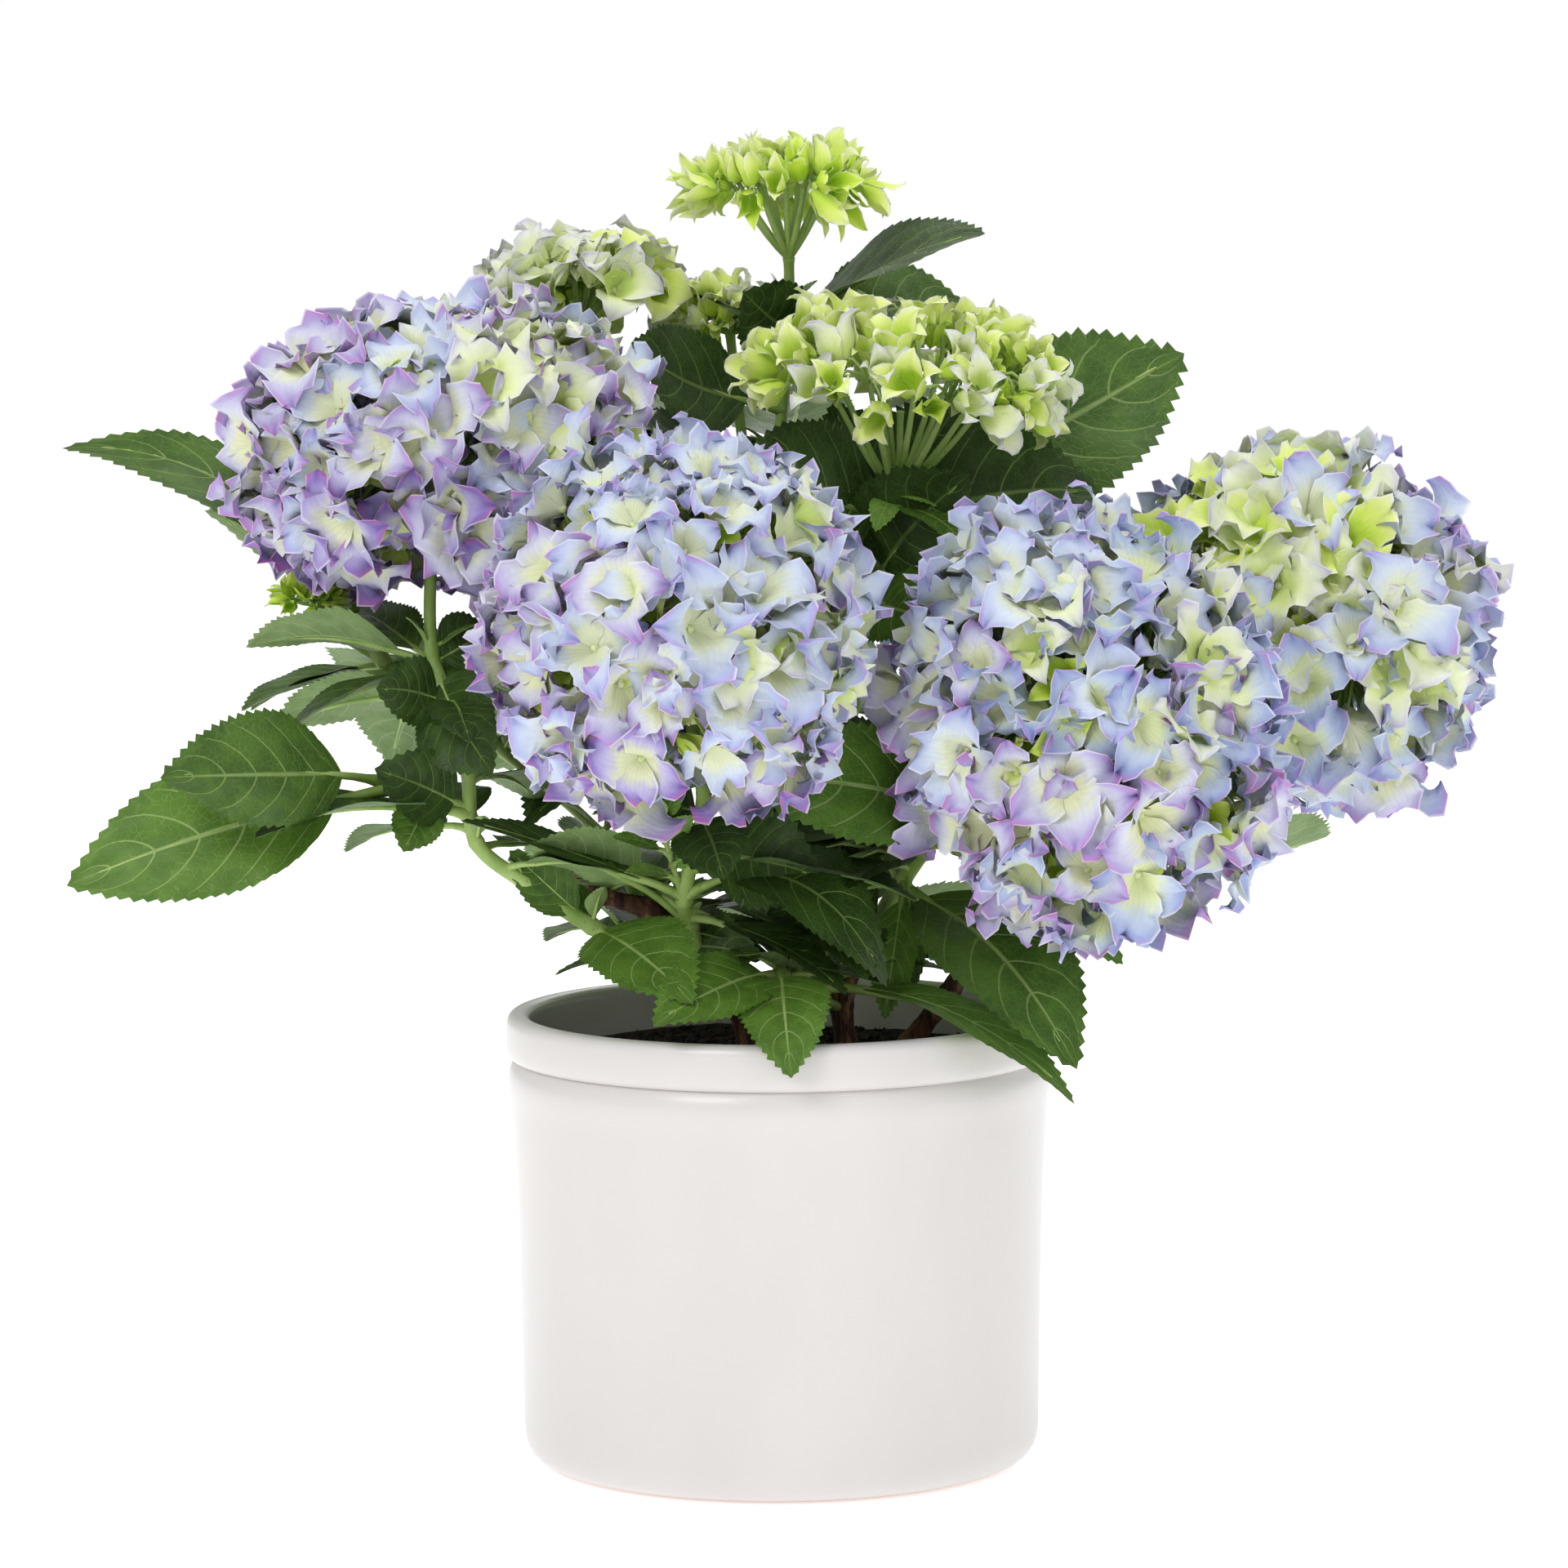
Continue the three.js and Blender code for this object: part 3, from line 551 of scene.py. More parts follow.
class Petal(Palette):
    """The florets' colourings: heart, body, rim, tip and crease, which is the painted shade of the fold near
    the tip.
    """

    VIOLET = "#dadfb8 #b8b2d6 #8e7bbd #b067b0 #503f88"
    LILAC = "#e4e9bb #d2d5e2 #b0a2d2 #be80c4 #6a5ca2"
    BLUE = "#e4ecb8 #c4d1e2 #9ca9d4 #ae90ce #6270aa"
    ICE = "#e2e8c4 #d2dce8 #b3bce0 #b393d2 #7178b4"
    CREAM = "#d3e488 #e5edbc #e0e5d6 #c6bed8 #bfc6b4"
    LIME = "#c4e04e #dbec76 #e8f0a4 #e6e9d4 #c2d868"
    BUD = "#a6cc2c #c2de40 #d4ea64 #e0ec94 #aacc38"
    SMOKE = "#d4e888 #e8f0c0 #dfe2de #b6aece #b0b4aa"

    @property
    def finish(self) -> PetalFinish:
        """The finish of that colouring."""
        return PetalFinish(f"petal_{self.name.lower()}", *self.tints)


# -------------------------------------------------------------------------------------------- joined meshes


@dataclass(frozen=True)
class Net:
    """How the points of a repeated shape join into faces.

    Fields:
        corners: The point number of each face corner.
        sizes: The number of corners of each face.
        spots: A place on the unit tile for each corner.
        under: 1 for each face on the underside and 0 for each other face.
    """

    corners: np.ndarray
    sizes: np.ndarray
    spots: np.ndarray
    under: np.ndarray

    @staticmethod
    def of(faces: Sequence[Sequence[int]], spots: Sequence[Sequence[Pair]], under: Sequence[int]) -> Net:
        """Makes a net from lists.

        Args:
            faces: The point numbers of each face.
            spots: The places of its corners on the tile.
            under: Its side.

        Returns:
            The net.
        """
        corners = np.array([c for face in faces for c in face], np.int64)
        sizes = np.array([len(face) for face in faces], np.int64)
        return Net(corners, sizes, np.array([s for face in spots for s in face], float), np.array(under))


class Blade:
    """A closed thin blade: an upper and an under grid that share their rim and tip.

    Row numbers run from the base to the tip and columns from the right edge to the left one.
    """

    def __init__(self, rows: int, columns: int) -> None:
        """Lays out the points and faces of a blade.

        Args:
            rows: The number of rows below the tip.
            columns: The number of strips across.
        """
        upper = np.arange(rows * (columns + 1)).reshape(rows, columns + 1)
        tip = upper.size
        lower = upper.copy()
        lower[1:, 1:-1] = tip + 1 + np.arange((rows - 1) * (columns - 1)).reshape(rows - 1, columns - 1)
        row, column = np.indices(upper.shape)
        inner = (slice(1, None), slice(1, -1))
        self.rows = rows
        self.row = np.concatenate([row.ravel(), [rows], row[inner].ravel()])
        self.across = np.concatenate([column.ravel(), [columns / 2], column[inner].ravel()]) * 2 / columns - 1
        self.down = np.concatenate([np.zeros(tip + 1), np.ones(lower[inner].size)])
        self.along = self.row / rows
        self.out = np.abs(self.across)
        self.rim = self.out > 0.999
        self.net = self._net(*(np.vstack([grid, np.full(columns + 1, tip)]) for grid in (upper, lower)))

    def _net(self, upper: np.ndarray, lower: np.ndarray) -> Net:
        """Joins the points into faces.

        Args:
            upper: The upper grid's point numbers, with a last row that is the tip.
            lower: The under grid's.

        Returns:
            The blade's net.
        """
        places = np.stack([(self.across + 1) / 2, self.along], 1)
        faces: list[Sequence[int]] = []
        spots: list[Sequence[Pair]] = []
        under: list[int] = []
        for side, grid in enumerate((upper, lower)):
            for i, j in np.ndindex(self.rows, grid.shape[1] - 1):
                corners = [(i, j), (i, j + 1), (i + 1, j + 1), (i + 1, j)]
                if i + 1 == self.rows:
                    corners.pop()
                if side:
                    corners.reverse()
                faces.append([grid[corner] for corner in corners])
                spots.append([tuple(places[upper[corner]]) for corner in corners])
                under.append(side)
        return Net.of(faces, spots, under)


class Tube:
    """A closed tube of rings."""

    LEAN = (0.31, 0.87, 0.38)

    def __init__(self, rings: int, sides: int) -> None:
        """Lays out the points and faces of a tube.

        Args:
            rings: The number of rings.
            sides: The number of points of each ring.
        """
        self.rings = rings
        self.sides = sides
        faces: list[Sequence[int]] = []
        spots: list[Sequence[Pair]] = []
        for i, j in np.ndindex(rings - 1, sides):
            ring, after = i * sides, (j + 1) % sides
            faces.append([ring + j, ring + after, ring + sides + after, ring + sides + j])
            left, right = j / sides, (j + 1) / sides
            low, high = i / (rings - 1), (i + 1) / (rings - 1)
            spots.append([(left, low), (right, low), (right, high), (left, high)])
        last = (rings - 1) * sides
        faces += [[sides - 1 - j for j in range(sides)], [last + j for j in range(sides)]]
        spots += [[(0.5, 0.0)] * sides, [(0.5, 1.0)] * sides]
        self.net = Net.of(faces, spots, [0] * len(faces))

    def sweep(self, centres: np.ndarray, radii: np.ndarray, relief: Any = 0) -> np.ndarray:
        """Sweeps the tube's rings along a line.

        Args:
            centres: The middle of each ring.
            radii: The radius of each ring.
            relief: What each point stands out by, ring by ring, where the surface isn't round.

        Returns:
            The tube's points.
        """
        ahead = np.gradient(centres, axis=0)
        ahead /= np.linalg.norm(ahead, axis=1, keepdims=True)
        across = np.empty_like(ahead)
        side = np.cross(ahead[0], self.LEAN)
        for k, way in enumerate(ahead):
            side = side - way * side.dot(way)
            side /= np.linalg.norm(side)
            across[k] = side
        other = np.cross(ahead, across)
        turn = np.arange(self.sides) * 2 * math.pi / self.sides
        reach = radii[:, None] + relief
        ring = across[:, None] * (reach * np.cos(turn))[..., None]
        ring = ring + other[:, None] * (reach * np.sin(turn))[..., None]
        return (centres[:, None] + ring).reshape(-1, 3)


class Batch:
    """Many small shapes gathered into the mesh of one piece."""

    MAP = "OFBake"

    def __init__(self) -> None:
        """Starts with nothing gathered."""
        self.parts: list[tuple[np.ndarray, ...]] = []
        self.count = 0

    def add(self, points: np.ndarray, net: Net, tile: np.ndarray, under: int = 0) -> None:
        """Adds copies of one shape.

        Args:
            points: The points of each copy.
            net: How they join.
            tile: The number of each copy's tile and material.
            under: What that number grows by on the underside, which is then mapped to the upper row.
        """
        copies, size = points.shape[:2]
        offsets = self.count + size * np.arange(copies)
        corner_under = np.repeat(net.under, net.sizes) if under else np.zeros(len(net.corners), int)
        inside = Bench.TILE_MARGIN + net.spots * (1 - 2 * Bench.TILE_MARGIN)
        columns, rows = Bench.TILES
        column, row = tile % columns, tile // columns
        u = (inside[None, :, 0] + column[:, None]) / columns
        v = (inside[None, :, 1] + row[:, None] + corner_under[None]) / rows
        self.parts.append((
            points.reshape(-1, 3),
            (net.corners[None] + offsets[:, None]).ravel(),
            np.tile(net.sizes, copies),
            np.stack([u, v], -1).reshape(-1, 2),
            (tile[:, None] + under * net.under[None]).ravel(),
        ))
        self.count += copies * size

    def add_one(self, points: np.ndarray, net: Net) -> None:
        """Adds one shape in the piece's first material."""
        self.add(points[None], net, np.zeros(1, int))

    def build(self, name: str, materials: Sequence[Material], crease: float = 62.0) -> Piece:
        """Joins what was gathered into one object.

        Args:
            name: The piece's name.
            materials: Its materials, by number.
            crease: Edges that turn by more degrees than this stay sharp.

        Returns:
            The object.
        """
        points, corners, sizes, spots, slots = (np.concatenate(part) for part in zip(*self.parts))
        mesh = bpy.data.meshes.new(name)
        mesh.vertices.add(self.count)
        mesh.vertices.foreach_set("co", points.astype(np.float32).ravel())
        mesh.loops.add(len(corners))
        mesh.loops.foreach_set("vertex_index", corners.astype(np.int32))
        mesh.polygons.add(len(sizes))
        starts = np.concatenate([[0], np.cumsum(sizes)[:-1]])
        mesh.polygons.foreach_set("loop_start", starts.astype(np.int32))
        mesh.polygons.foreach_set("material_index", slots.astype(np.int32))
        mesh.update(calc_edges=True)
        layer = mesh.uv_layers.new(name=self.MAP)
        layer.data.foreach_set("uv", spots.astype(np.float32).ravel())
        for material in materials:
            mesh.materials.append(material)
        piece = bpy.data.objects.new(name, mesh)
        bpy.context.scene.collection.objects.link(piece)
        smooth_by_angle(piece, crease)
        return piece


def deselect_all() -> None:
    """Deselects every object."""
    for piece in bpy.context.selected_objects:
        piece.select_set(False)


def smooth_by_angle(piece: Piece, degrees: float) -> None:
    """Shades a piece smooth, with its sharper edges kept.

    Args:
        piece: The piece.
        degrees: Edges that turn by more than this stay sharp.
    """
    deselect_all()
    piece.select_set(True)
    bpy.context.view_layer.objects.active = piece
    bpy.ops.object.shade_smooth_by_angle(angle=math.radians(degrees))


def settle(piece: Piece, nodes: Iterable[str] = ()) -> Piece:
    """Makes a finished piece ride on the plant's body.

    Args:
        piece: The piece.
        nodes: The solids that it stands for.

    Returns:
        The piece.
    """
    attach(piece, BODY)
    nodes = list(nodes)
    if nodes:
        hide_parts(*nodes)
    LOG.info("%s: %d faces", piece.name, len(piece.data.polygons))
    return piece


def turned_piece(name: str, outline: Sequence[Pair], segments: int) -> Piece:
    """Turns an outline about the upright axis: a circle is extruded, moved and resized ring by ring.

    Args:
        name: The piece's name.
        outline: Radius and height of each ring.
        segments: The number of sides.

    Returns:
        The piece, closed at both ends.
    """
    radius, height = outline[0]
    deselect_all()
    bpy.ops.mesh.primitive_circle_add(vertices=segments, radius=radius, location=(0, 0, height))
    piece = bpy.context.object
    piece.name = piece.data.name = name
    bpy.ops.object.mode_set(mode="EDIT")
    bpy.ops.mesh.select_mode(type="EDGE")
    bpy.ops.mesh.select_all(action="SELECT")
    for next_radius, next_height in outline[1:]:
        bpy.ops.mesh.extrude_region_move(TRANSFORM_OT_translate={"value": (0, 0, next_height - height)})
        share = next_radius / radius
        bpy.ops.transform.resize(value=(share, share, 1), center_override=(0, 0, next_height))
        radius, height = next_radius, next_height
    bpy.ops.mesh.select_all(action="SELECT")
    bpy.ops.mesh.fill_holes(sides=0)
    bpy.ops.mesh.select_all(action="SELECT")
    bpy.ops.mesh.normals_make_consistent(inside=False)
    bpy.ops.object.mode_set(mode="OBJECT")
    bpy.ops.object.transform_apply(location=True, rotation=True, scale=True)
    return piece


def curve(start: Any, pull: Any, end: Any, shares: np.ndarray) -> np.ndarray:
    """Points at shares of the quadratic curve from start to end, drawn towards pull."""
    t = shares[:, None]
    return np.array(start) * (1 - t) ** 2 + 2 * np.array(pull) * t * (1 - t) + np.array(end) * t**2


def arc(start: Pair, pull: Pair, end: Pair, steps: int) -> list[Pair]:
    """The points after start of a curve on an outline."""
    return [tuple(point) for point in curve(start, pull, end, np.arange(1, steps + 1) / steps)]


# --------------------------------------------------------------------------------------- lines and the plant


class Dice:
    """Repeatable numbers from 0 up to 1."""

    RANGE = 2**32
    FACTOR = 1664525
    ADDEND = 1013904223

    def __init__(self, seed: int) -> None:
        """Starts from a seed."""
        self.state = seed % self.RANGE

    def roll(self) -> float:
        """The next number."""
        self.state = (self.state * self.FACTOR + self.ADDEND) % self.RANGE
        return self.state / self.RANGE


class Route:
    """A smooth line whose point number k lies at place k."""

    def __init__(self, points: Sequence[Sequence[float]]) -> None:
        """Takes the points of the line."""
        self.points = np.array(points, float)
        self.last = len(points) - 1

    def point(self, place: float) -> np.ndarray:
        """Finds the point at a place.

        Args:
            place: The place, which is kept on the line.

        Returns:
            The point.
        """
        place = min(max(place, 0.0), float(self.last))
        k = min(int(place), self.last - 1)
        t = place - k
        p = self.points
        a, b = p[k], p[k + 1]
        before = p[k - 1] if k > 0 else 2 * p[0] - p[1]
        after = p[k + 2] if k + 2 <= self.last else 2 * p[-1] - p[-2]
        d0, d1, d2 = (np.linalg.norm(y - x) ** 0.5 for x, y in ((before, a), (a, b), (b, after)))
        leave = ((a - before) / d0 - (b - before) / (d0 + d1) + (b - a) / d1) * d1
        arrive = ((b - a) / d1 - (after - a) / (d1 + d2) + (after - b) / d2) * d1
        rest = (3 * (b - a) - 2 * leave - arrive) * t**2
        return a + leave * t + rest + (2 * (a - b) + leave + arrive) * t**3

    def line(self, per_point: int) -> tuple[np.ndarray, np.ndarray]:
        """Walks along the whole line.

        Args:
            per_point: The number of steps from one of its points to the next.

        Returns:
            The even places of the walk, and the points at them.
        """
        places = np.linspace(0, self.last, self.last * per_point + 1)
        return places, np.array([self.point(place) for place in places])


UP: Point = (0, 0, 1)
FRONT_UP: Point = (0, -1, 1.1)
FRONT: Point = (0, -1, 0.25)
BACK_UP: Point = (0, 1, 1.2)
DARK, MID, BRIGHT, YOUNG = LeafTone
VIOLET, LILAC, BLUE, ICE, CREAM, LIME, BUD, SMOKE = Petal


@dataclass(frozen=True)
class Leaf:
    """One leaf.

    It has a place on the stem, a tip, a width, the side its face looks to, its bend, its tone, and the share
    of its length that is stalk.
    """

    at: float
    tip: Point
    width: float
    face: Point = FRONT_UP
    arch: float = 0.08
    tone: LeafTone = MID
    stalk: float = 0.2


@dataclass(frozen=True)
class Twig:
    """A straight side twig with its own leaves, each at a share of the twig's length."""

    at: float
    radius: float
    tip: Point
    leaves: tuple[Leaf, ...]


class Style(Enum):
    """Forms of flower head."""

    DOME = "dome"
    CORYMB = "corymb"


class Stage(Enum):
    """How far a floret has opened."""

    OPEN = "open"
    CUP = "cup"
    HALF = "half"
    BUD = "bud"


@dataclass(frozen=True)
class Share:
    """How much a head has of one colouring, and the direction in which it has more of it."""

    petal: Petal
    weight: float
    # The directions mostly put darker colourings towards the heads' undersides and paler ones towards their
    # tops: partly the flowers' own colour, partly painted shade below and painted light above.
    towards: Point = (0, 0, 0)


@dataclass(frozen=True)
class Bloom:
    """A flower head: its form, place, radii, turn about X and Y in degrees, florets and colourings.

    `inner` is the number of florets of the layer beneath. The rays leave the shoot at `rays_from`, or at the
    shoot's end where that is 0.
    """

    style: Style
    centre: Point
    radii: Point
    turn: Pair
    florets: int
    floret: float
    stage: Stage
    colours: tuple[Share, ...]
    inner: int = 0
    rays: int = 7
    rays_from: float = 0.0


@dataclass(frozen=True)
class Shoot:
    """A green shoot: where it leaves its wood, its radii and line, and what grows on it.

    Its foliage starts at the place `enter` and its flower head's stalk at `bloom_from`. `grown` is the number
    of leaves that the rule adds, from the numbers of `seed`.
    """

    name: str
    wood: str
    place: float
    radii: Pair
    enter: int
    bloom_from: float
    seed: int
    grown: int
    path: tuple[Point, ...]
    leaves: tuple[Leaf, ...]
    twigs: tuple[Twig, ...] = ()
    bloom: Bloom | None = None


@dataclass(frozen=True)
class Wood:
    """An old stem: its radii at the soil and at its end, and its line."""

    radii: Pair
    path: tuple[Point, ...]


def mm(*sizes: float) -> tuple[float, ...]:
    """Metres from millimetres."""
    return tuple(size / 1000 for size in sizes)


def trail(*points: Point) -> tuple[Point, ...]:
    """A line's points from millimetres."""
    return tuple(mm(*point) for point in points)


def leaf(at: float, tip: Point, width: float, face: Point = FRONT_UP, *rest: Any, **others: Any) -> Leaf:
    """A leaf whose tip and width are in millimetres."""
    return Leaf(at, mm(*tip), width / 1000, face, *rest, **others)


WOOD: dict[str, Wood] = {
    "left": Wood(mm(5.6, 3.1), trail(
        (-9, -7, 142), (-15, -8, 163), (-24, -8, 180), (-47, -9, 195), (-62, -12, 200), (-70, -15, 210))),
    "centre": Wood(mm(6, 4.2), trail((4, 8, 142), (2, 10, 165), (3, 14, 190), (4, 18, 215))),
    "right": Wood(mm(5.4, 4.2), trail((24, -8, 142), (22, -8, 163), (28, -8, 178), (35, -10, 190))),
    "far_right": Wood(mm(5, 3.6), trail((44, 12, 142), (58, 11, 160), (68, 9, 176), (80, 7, 192))),
    "back": Wood(mm(5.4, 4), trail((8, 40, 142), (6, 42, 162), (4, 46, 182), (6, 50, 200))),
}

SHOOTS: tuple[Shoot, ...] = (
    Shoot(
        "left", "left", 1.9, mm(4.3, 2.9), 4, 7, 11, 2,
        trail((-42, -21, 179), (-64, -30, 191), (-87, -35, 207), (-103, -37, 221), (-106, -36, 246),
              (-112, -32, 269), (-118, -26, 286), (-117, -14, 345)),
        (
            leaf(6.7, (-183, -12, 287), 36, (0, 0.48, 1), 0.10, BRIGHT),
            leaf(6.8, (-150, 26, 299), 22, arch=0.02),
            leaf(5.9, (-176, 14, 255), 30, (0, 0.6, 0.8), 0.10, BRIGHT),
            leaf(6.0, (-136, -48, 275), 24, FRONT, tone=DARK),
            leaf(6.6, (-96, -62, 247), 34, (-0.5, -1, 0.2), tone=DARK, stalk=0.12),
            leaf(5.6, (-104, -72, 262), 20),
            leaf(1.9, (-29, -92, 173), 36, (0.1, -1, 0.7), 0.06, BRIGHT, 0.05),
            leaf(2.0, (-92, -35, 218), 18, FRONT),
            leaf(6.8, (-98, -14, 292), 24, FRONT, tone=DARK, stalk=0.1),
        ),
        (Twig(4.5, 0.0017, mm(-136, -42, 243), (
            leaf(0.75, (-241, -62, 210), 47, (-0.15, -1, 0.4), tone=BRIGHT),
            leaf(0.98, (-207, -78, 248), 44, (0, -1, 0.6), tone=MID),
            leaf(0.1, (-136, -62, 249), 26, FRONT, tone=DARK, stalk=0.1),
            leaf(0.4, (-127, -56, 220), 18, FRONT, tone=BRIGHT),
        )),),
        Bloom(Style.DOME, mm(-113.5, -10, 356), mm(75.5, 58, 53), (0, -7), 148, 0.0155, Stage.OPEN,
              (Share(VIOLET, 0.20, (-0.15, 0, -0.95)), Share(LILAC, 0.45, (-0.25, 0, -0.1)),
               Share(ICE, 0.25, (0.1, 0, 0.25)), Share(CREAM, 0.20, (0.45, 0, 0.15))), 84),
    ),
    Shoot(
        "left_back", "left", 3, mm(3.2, 2.2), 3, 5, 12, 2,
        trail((-62, 12, 218), (-96, 26, 246), (-120, 30, 264), (-140, 28, 279), (-154, 18, 290),
              (-161, 11, 300)),
        (
            leaf(3.9, (-251, 42, 353), 28, arch=0.28),
            leaf(3.8, (-203, 66, 329), 34, BACK_UP),
            leaf(3.6, (-150, 110, 262), 40, BACK_UP),
            leaf(3.3, (-140, 100, 235), 38, BACK_UP),
        ),
        (),
        Bloom(Style.CORYMB, mm(-162, 10, 301), mm(14, 13, 9), (0, 0), 34, 0.0044, Stage.BUD,
              (Share(BUD, 0.5), Share(LIME, 0.3)), 0, 4),
    ),
    Shoot(
        "centre", "left", 0.8, mm(4.2, 3.3), 3, 5, 13, 2,
        trail((-25, -25, 175), (-30, -36, 192), (-32, -43, 201), (-28, -58, 222), (-25, -69, 236),
              (-32, -100, 290)),
        (
            leaf(3.1, (-107, -62, 232), 22, (0, -0.3, 1), 0.02, DARK),
            leaf(2.0, (-86, -60, 222), 34, (0.2, 0.75, 0.8), 0.10, BRIGHT, 0.34),
            leaf(3.12, (37, -66, 174), 40, (0.2, -0.6, 1), 0.34, DARK),
            leaf(3.9, (14, -66, 212), 34, FRONT, tone=DARK),
            leaf(4.3, (-76, -28, 240), 28, arch=0.2, tone=DARK),
            leaf(4.7, (-18, -92, 214), 27, FRONT, 0.12, DARK, 0.1),
            leaf(4.9, (-49, -55, 236), 27, FRONT, 0.10, DARK, 0.1),
        ),
        (Twig(2.6, 0.0011, mm(-40, -68, 232), (
            leaf(0.35, (-52, -66, 214), 7, tone=YOUNG),
            leaf(0.50, (-24, -76, 222), 7, FRONT, tone=YOUNG),
            leaf(0.62, (-56, -70, 226), 8, tone=YOUNG),
            leaf(0.75, (-28, -78, 234), 8, FRONT, tone=YOUNG),
            leaf(0.85, (-54, -74, 236), 8, FRONT, tone=YOUNG),
            leaf(0.95, (-33, -72, 244), 7, FRONT, tone=YOUNG),
            leaf(0.98, (-42, -80, 243), 9, tone=YOUNG),
        )),),
        Bloom(Style.DOME, mm(-33, -105, 300), mm(67, 58, 69), (-18, 0), 150, 0.0148, Stage.OPEN,
              (Share(ICE, 0.55, (0.1, 0, 0.1)), Share(LILAC, 0.25, (-0.4, 0, -0.2)),
               Share(CREAM, 0.05, (0.6, 0, 0.1)), Share(VIOLET, -0.30, (-0.6, 0, -0.9))), 84),
    ),
    Shoot(
        "right", "right", 2.9, mm(4.6, 4.2), 2, 3.2, 14, 2,
        trail((42, -14, 203), (50, -24, 216), (60, -37, 228), (80, -58, 246), (104, -80, 264)),
        (
            leaf(1.0, (100, -88, 149), 46, (0.35, -1, 0.6), 0.10, MID, 0.14),
            leaf(3.2, (-20, -90, 249), 42, (0, -1, 0.45), 0.08, BRIGHT, 0.1),
            leaf(2.5, (6, -52, 262), 34, tone=DARK),
            leaf(2.3, (118, -40, 178), 28, tone=BRIGHT),
            leaf(1.2, (36, -45, 160), 16, FRONT, tone=BRIGHT),
            leaf(1.4, (45, -30, 166), 13, FRONT),
            leaf(1.1, (-4, -30, 195), 34, FRONT, tone=DARK),
        ),
        (),
        Bloom(Style.DOME, mm(104, -80, 262), mm(65, 60, 80), (-12, -24), 156, 0.0158, Stage.OPEN,
              (Share(BLUE, 0.42, (0.1, 0, -0.2)), Share(LILAC, 0.38, (-0.2, 0, -0.35)),
               Share(CREAM, 0.20, (0.1, 0, 0.1)), Share(ICE, 0.32, (0, 0, 0.4)),
               Share(VIOLET, -0.2, (-0.4, 0, -0.5))), 94),
    ),
    Shoot(
        "right_back", "far_right", 2.6, mm(4.2, 3.4), 2, 4, 15, 2,
        trail((96, 14, 204), (112, 20, 214), (128, 25, 224), (143, 29, 236), (186, 35, 280)),
        (
            leaf(2.3, (150, 50, 216), 44, UP),
            leaf(2.6, (128, 96, 214), 46, BACK_UP),
            leaf(2.8, (199, 100, 207), 44, BACK_UP, -0.08),
            leaf(3.8, (100, 58, 269), 38, BACK_UP, -0.08),
        ),
        (),
        Bloom(Style.DOME, mm(180, 36, 283), mm(71, 60, 69), (0, 16), 150, 0.0154, Stage.OPEN,
              (Share(CREAM, 0.30, (-0.1, -0.35, 0.25)), Share(BLUE, 0.35, (0.2, 0, -0.45)),
               Share(ICE, 0.45, (0.3, 0, 0.1)), Share(LILAC, 0.2, (0.2, 0, -0.2)),
               Share(LIME, -0.1, (-0.3, -0.3, 0.3))), 88),
    ),
    Shoot(
        "upper_right", "centre", 2, mm(4.2, 3), 3, 6, 16, 2,
        trail((18, 16, 214), (26, 23, 262), (31, 22, 290), (35, 17, 308), (38, 10, 324), (42, -2, 340),
              (43, -9, 366)),
        (
            leaf(5.3, (144, 44, 384), 60, (0.1, -1, 0.5), 0.02, MID),
            leaf(5.1, (112, 2, 338), 52, (0.1, -1, 0.5), tone=DARK, stalk=0.1),
            leaf(5.2, (-18, -10, 345), 56, (0, -1, 0.6), tone=DARK, stalk=0.1),
            leaf(4.0, (66, -22, 345), 44, FRONT, tone=DARK, stalk=0.1),
            leaf(3.9, (8, -6, 330), 44, FRONT, tone=DARK, stalk=0.1),
            leaf(4.7, (66, 30, 370), 40, FRONT, tone=DARK, stalk=0.1),
            leaf(4.6, (20, 22, 368), 36, FRONT, tone=DARK, stalk=0.1),
            leaf(3.4, (54, -34, 296), 30, FRONT),
            leaf(4.4, (76, 84, 350), 46, BACK_UP, tone=DARK),
            leaf(5.7, (59, -14, 332), 10, arch=0.25, tone=YOUNG, stalk=0.05),
            leaf(5.7, (34, -14, 325), 11, arch=0.20, tone=YOUNG, stalk=0.05),
            leaf(1.5, (20, -30, 200), 34, FRONT, tone=DARK),
            leaf(1.9, (-21, 0, 199), 34, FRONT, tone=DARK),
        ),
        (),
        Bloom(Style.CORYMB, mm(46, -12, 375), mm(63, 50, 34), (4, 6), 80, 0.0110, Stage.HALF,
              (Share(LIME, 0.55, (0, 0, 0.1)), Share(CREAM, 0.45, (-0.1, 0, -0.2))), 36, 9, 5.8),
    ),
    Shoot(
        "upper_left", "centre", 1.8, mm(4, 2.8), 3, 5, 17, 2,
        trail((-10, 32, 232), (-28, 46, 276), (-44, 55, 316), (-54, 58, 342), (-62, 60, 362), (-70, 60, 394)),
        (
            leaf(3.8, (-117, 144, 328), 48, BACK_UP, 0.24),
            leaf(4.4, (-132, 72, 372), 42, BACK_UP, tone=DARK),
            leaf(4.1, (-62, 136, 366), 46, BACK_UP),
        ),
        (),
        Bloom(Style.CORYMB, mm(-71, 60, 406), mm(43, 40, 26), (0, -6), 52, 0.0125, Stage.CUP,
              (Share(SMOKE, 0.3, (0, 0, 0.3)), Share(CREAM, 0.40), Share(LIME, 0.30, (0.3, 0, -0.5))), 26, 7),
    ),
    Shoot(
        "top", "centre", 3, mm(3.8, 2.6), 2, 5, 18, 2,
        trail((4, 26, 262), (2, 36, 312), (1, 42, 346), (3, 43, 372), (5, 37, 397), (5, 26, 418)),
        (
            leaf(4.8, (72, -6, 428), 52, (-0.30, -0.34, 1), 0.05, DARK, 0.02),
            leaf(4.8, (-11, 20, 406.5), 30, (0, -1, 0.1), 0.06, DARK, 0.02),
            leaf(4.4, (68, 62, 400), 44, (0.1, -0.9, 0.8), 0.14, MID),
            leaf(3.7, (-49, 0, 390), 40, (-0.2, -1, 0.6), -0.08, DARK),
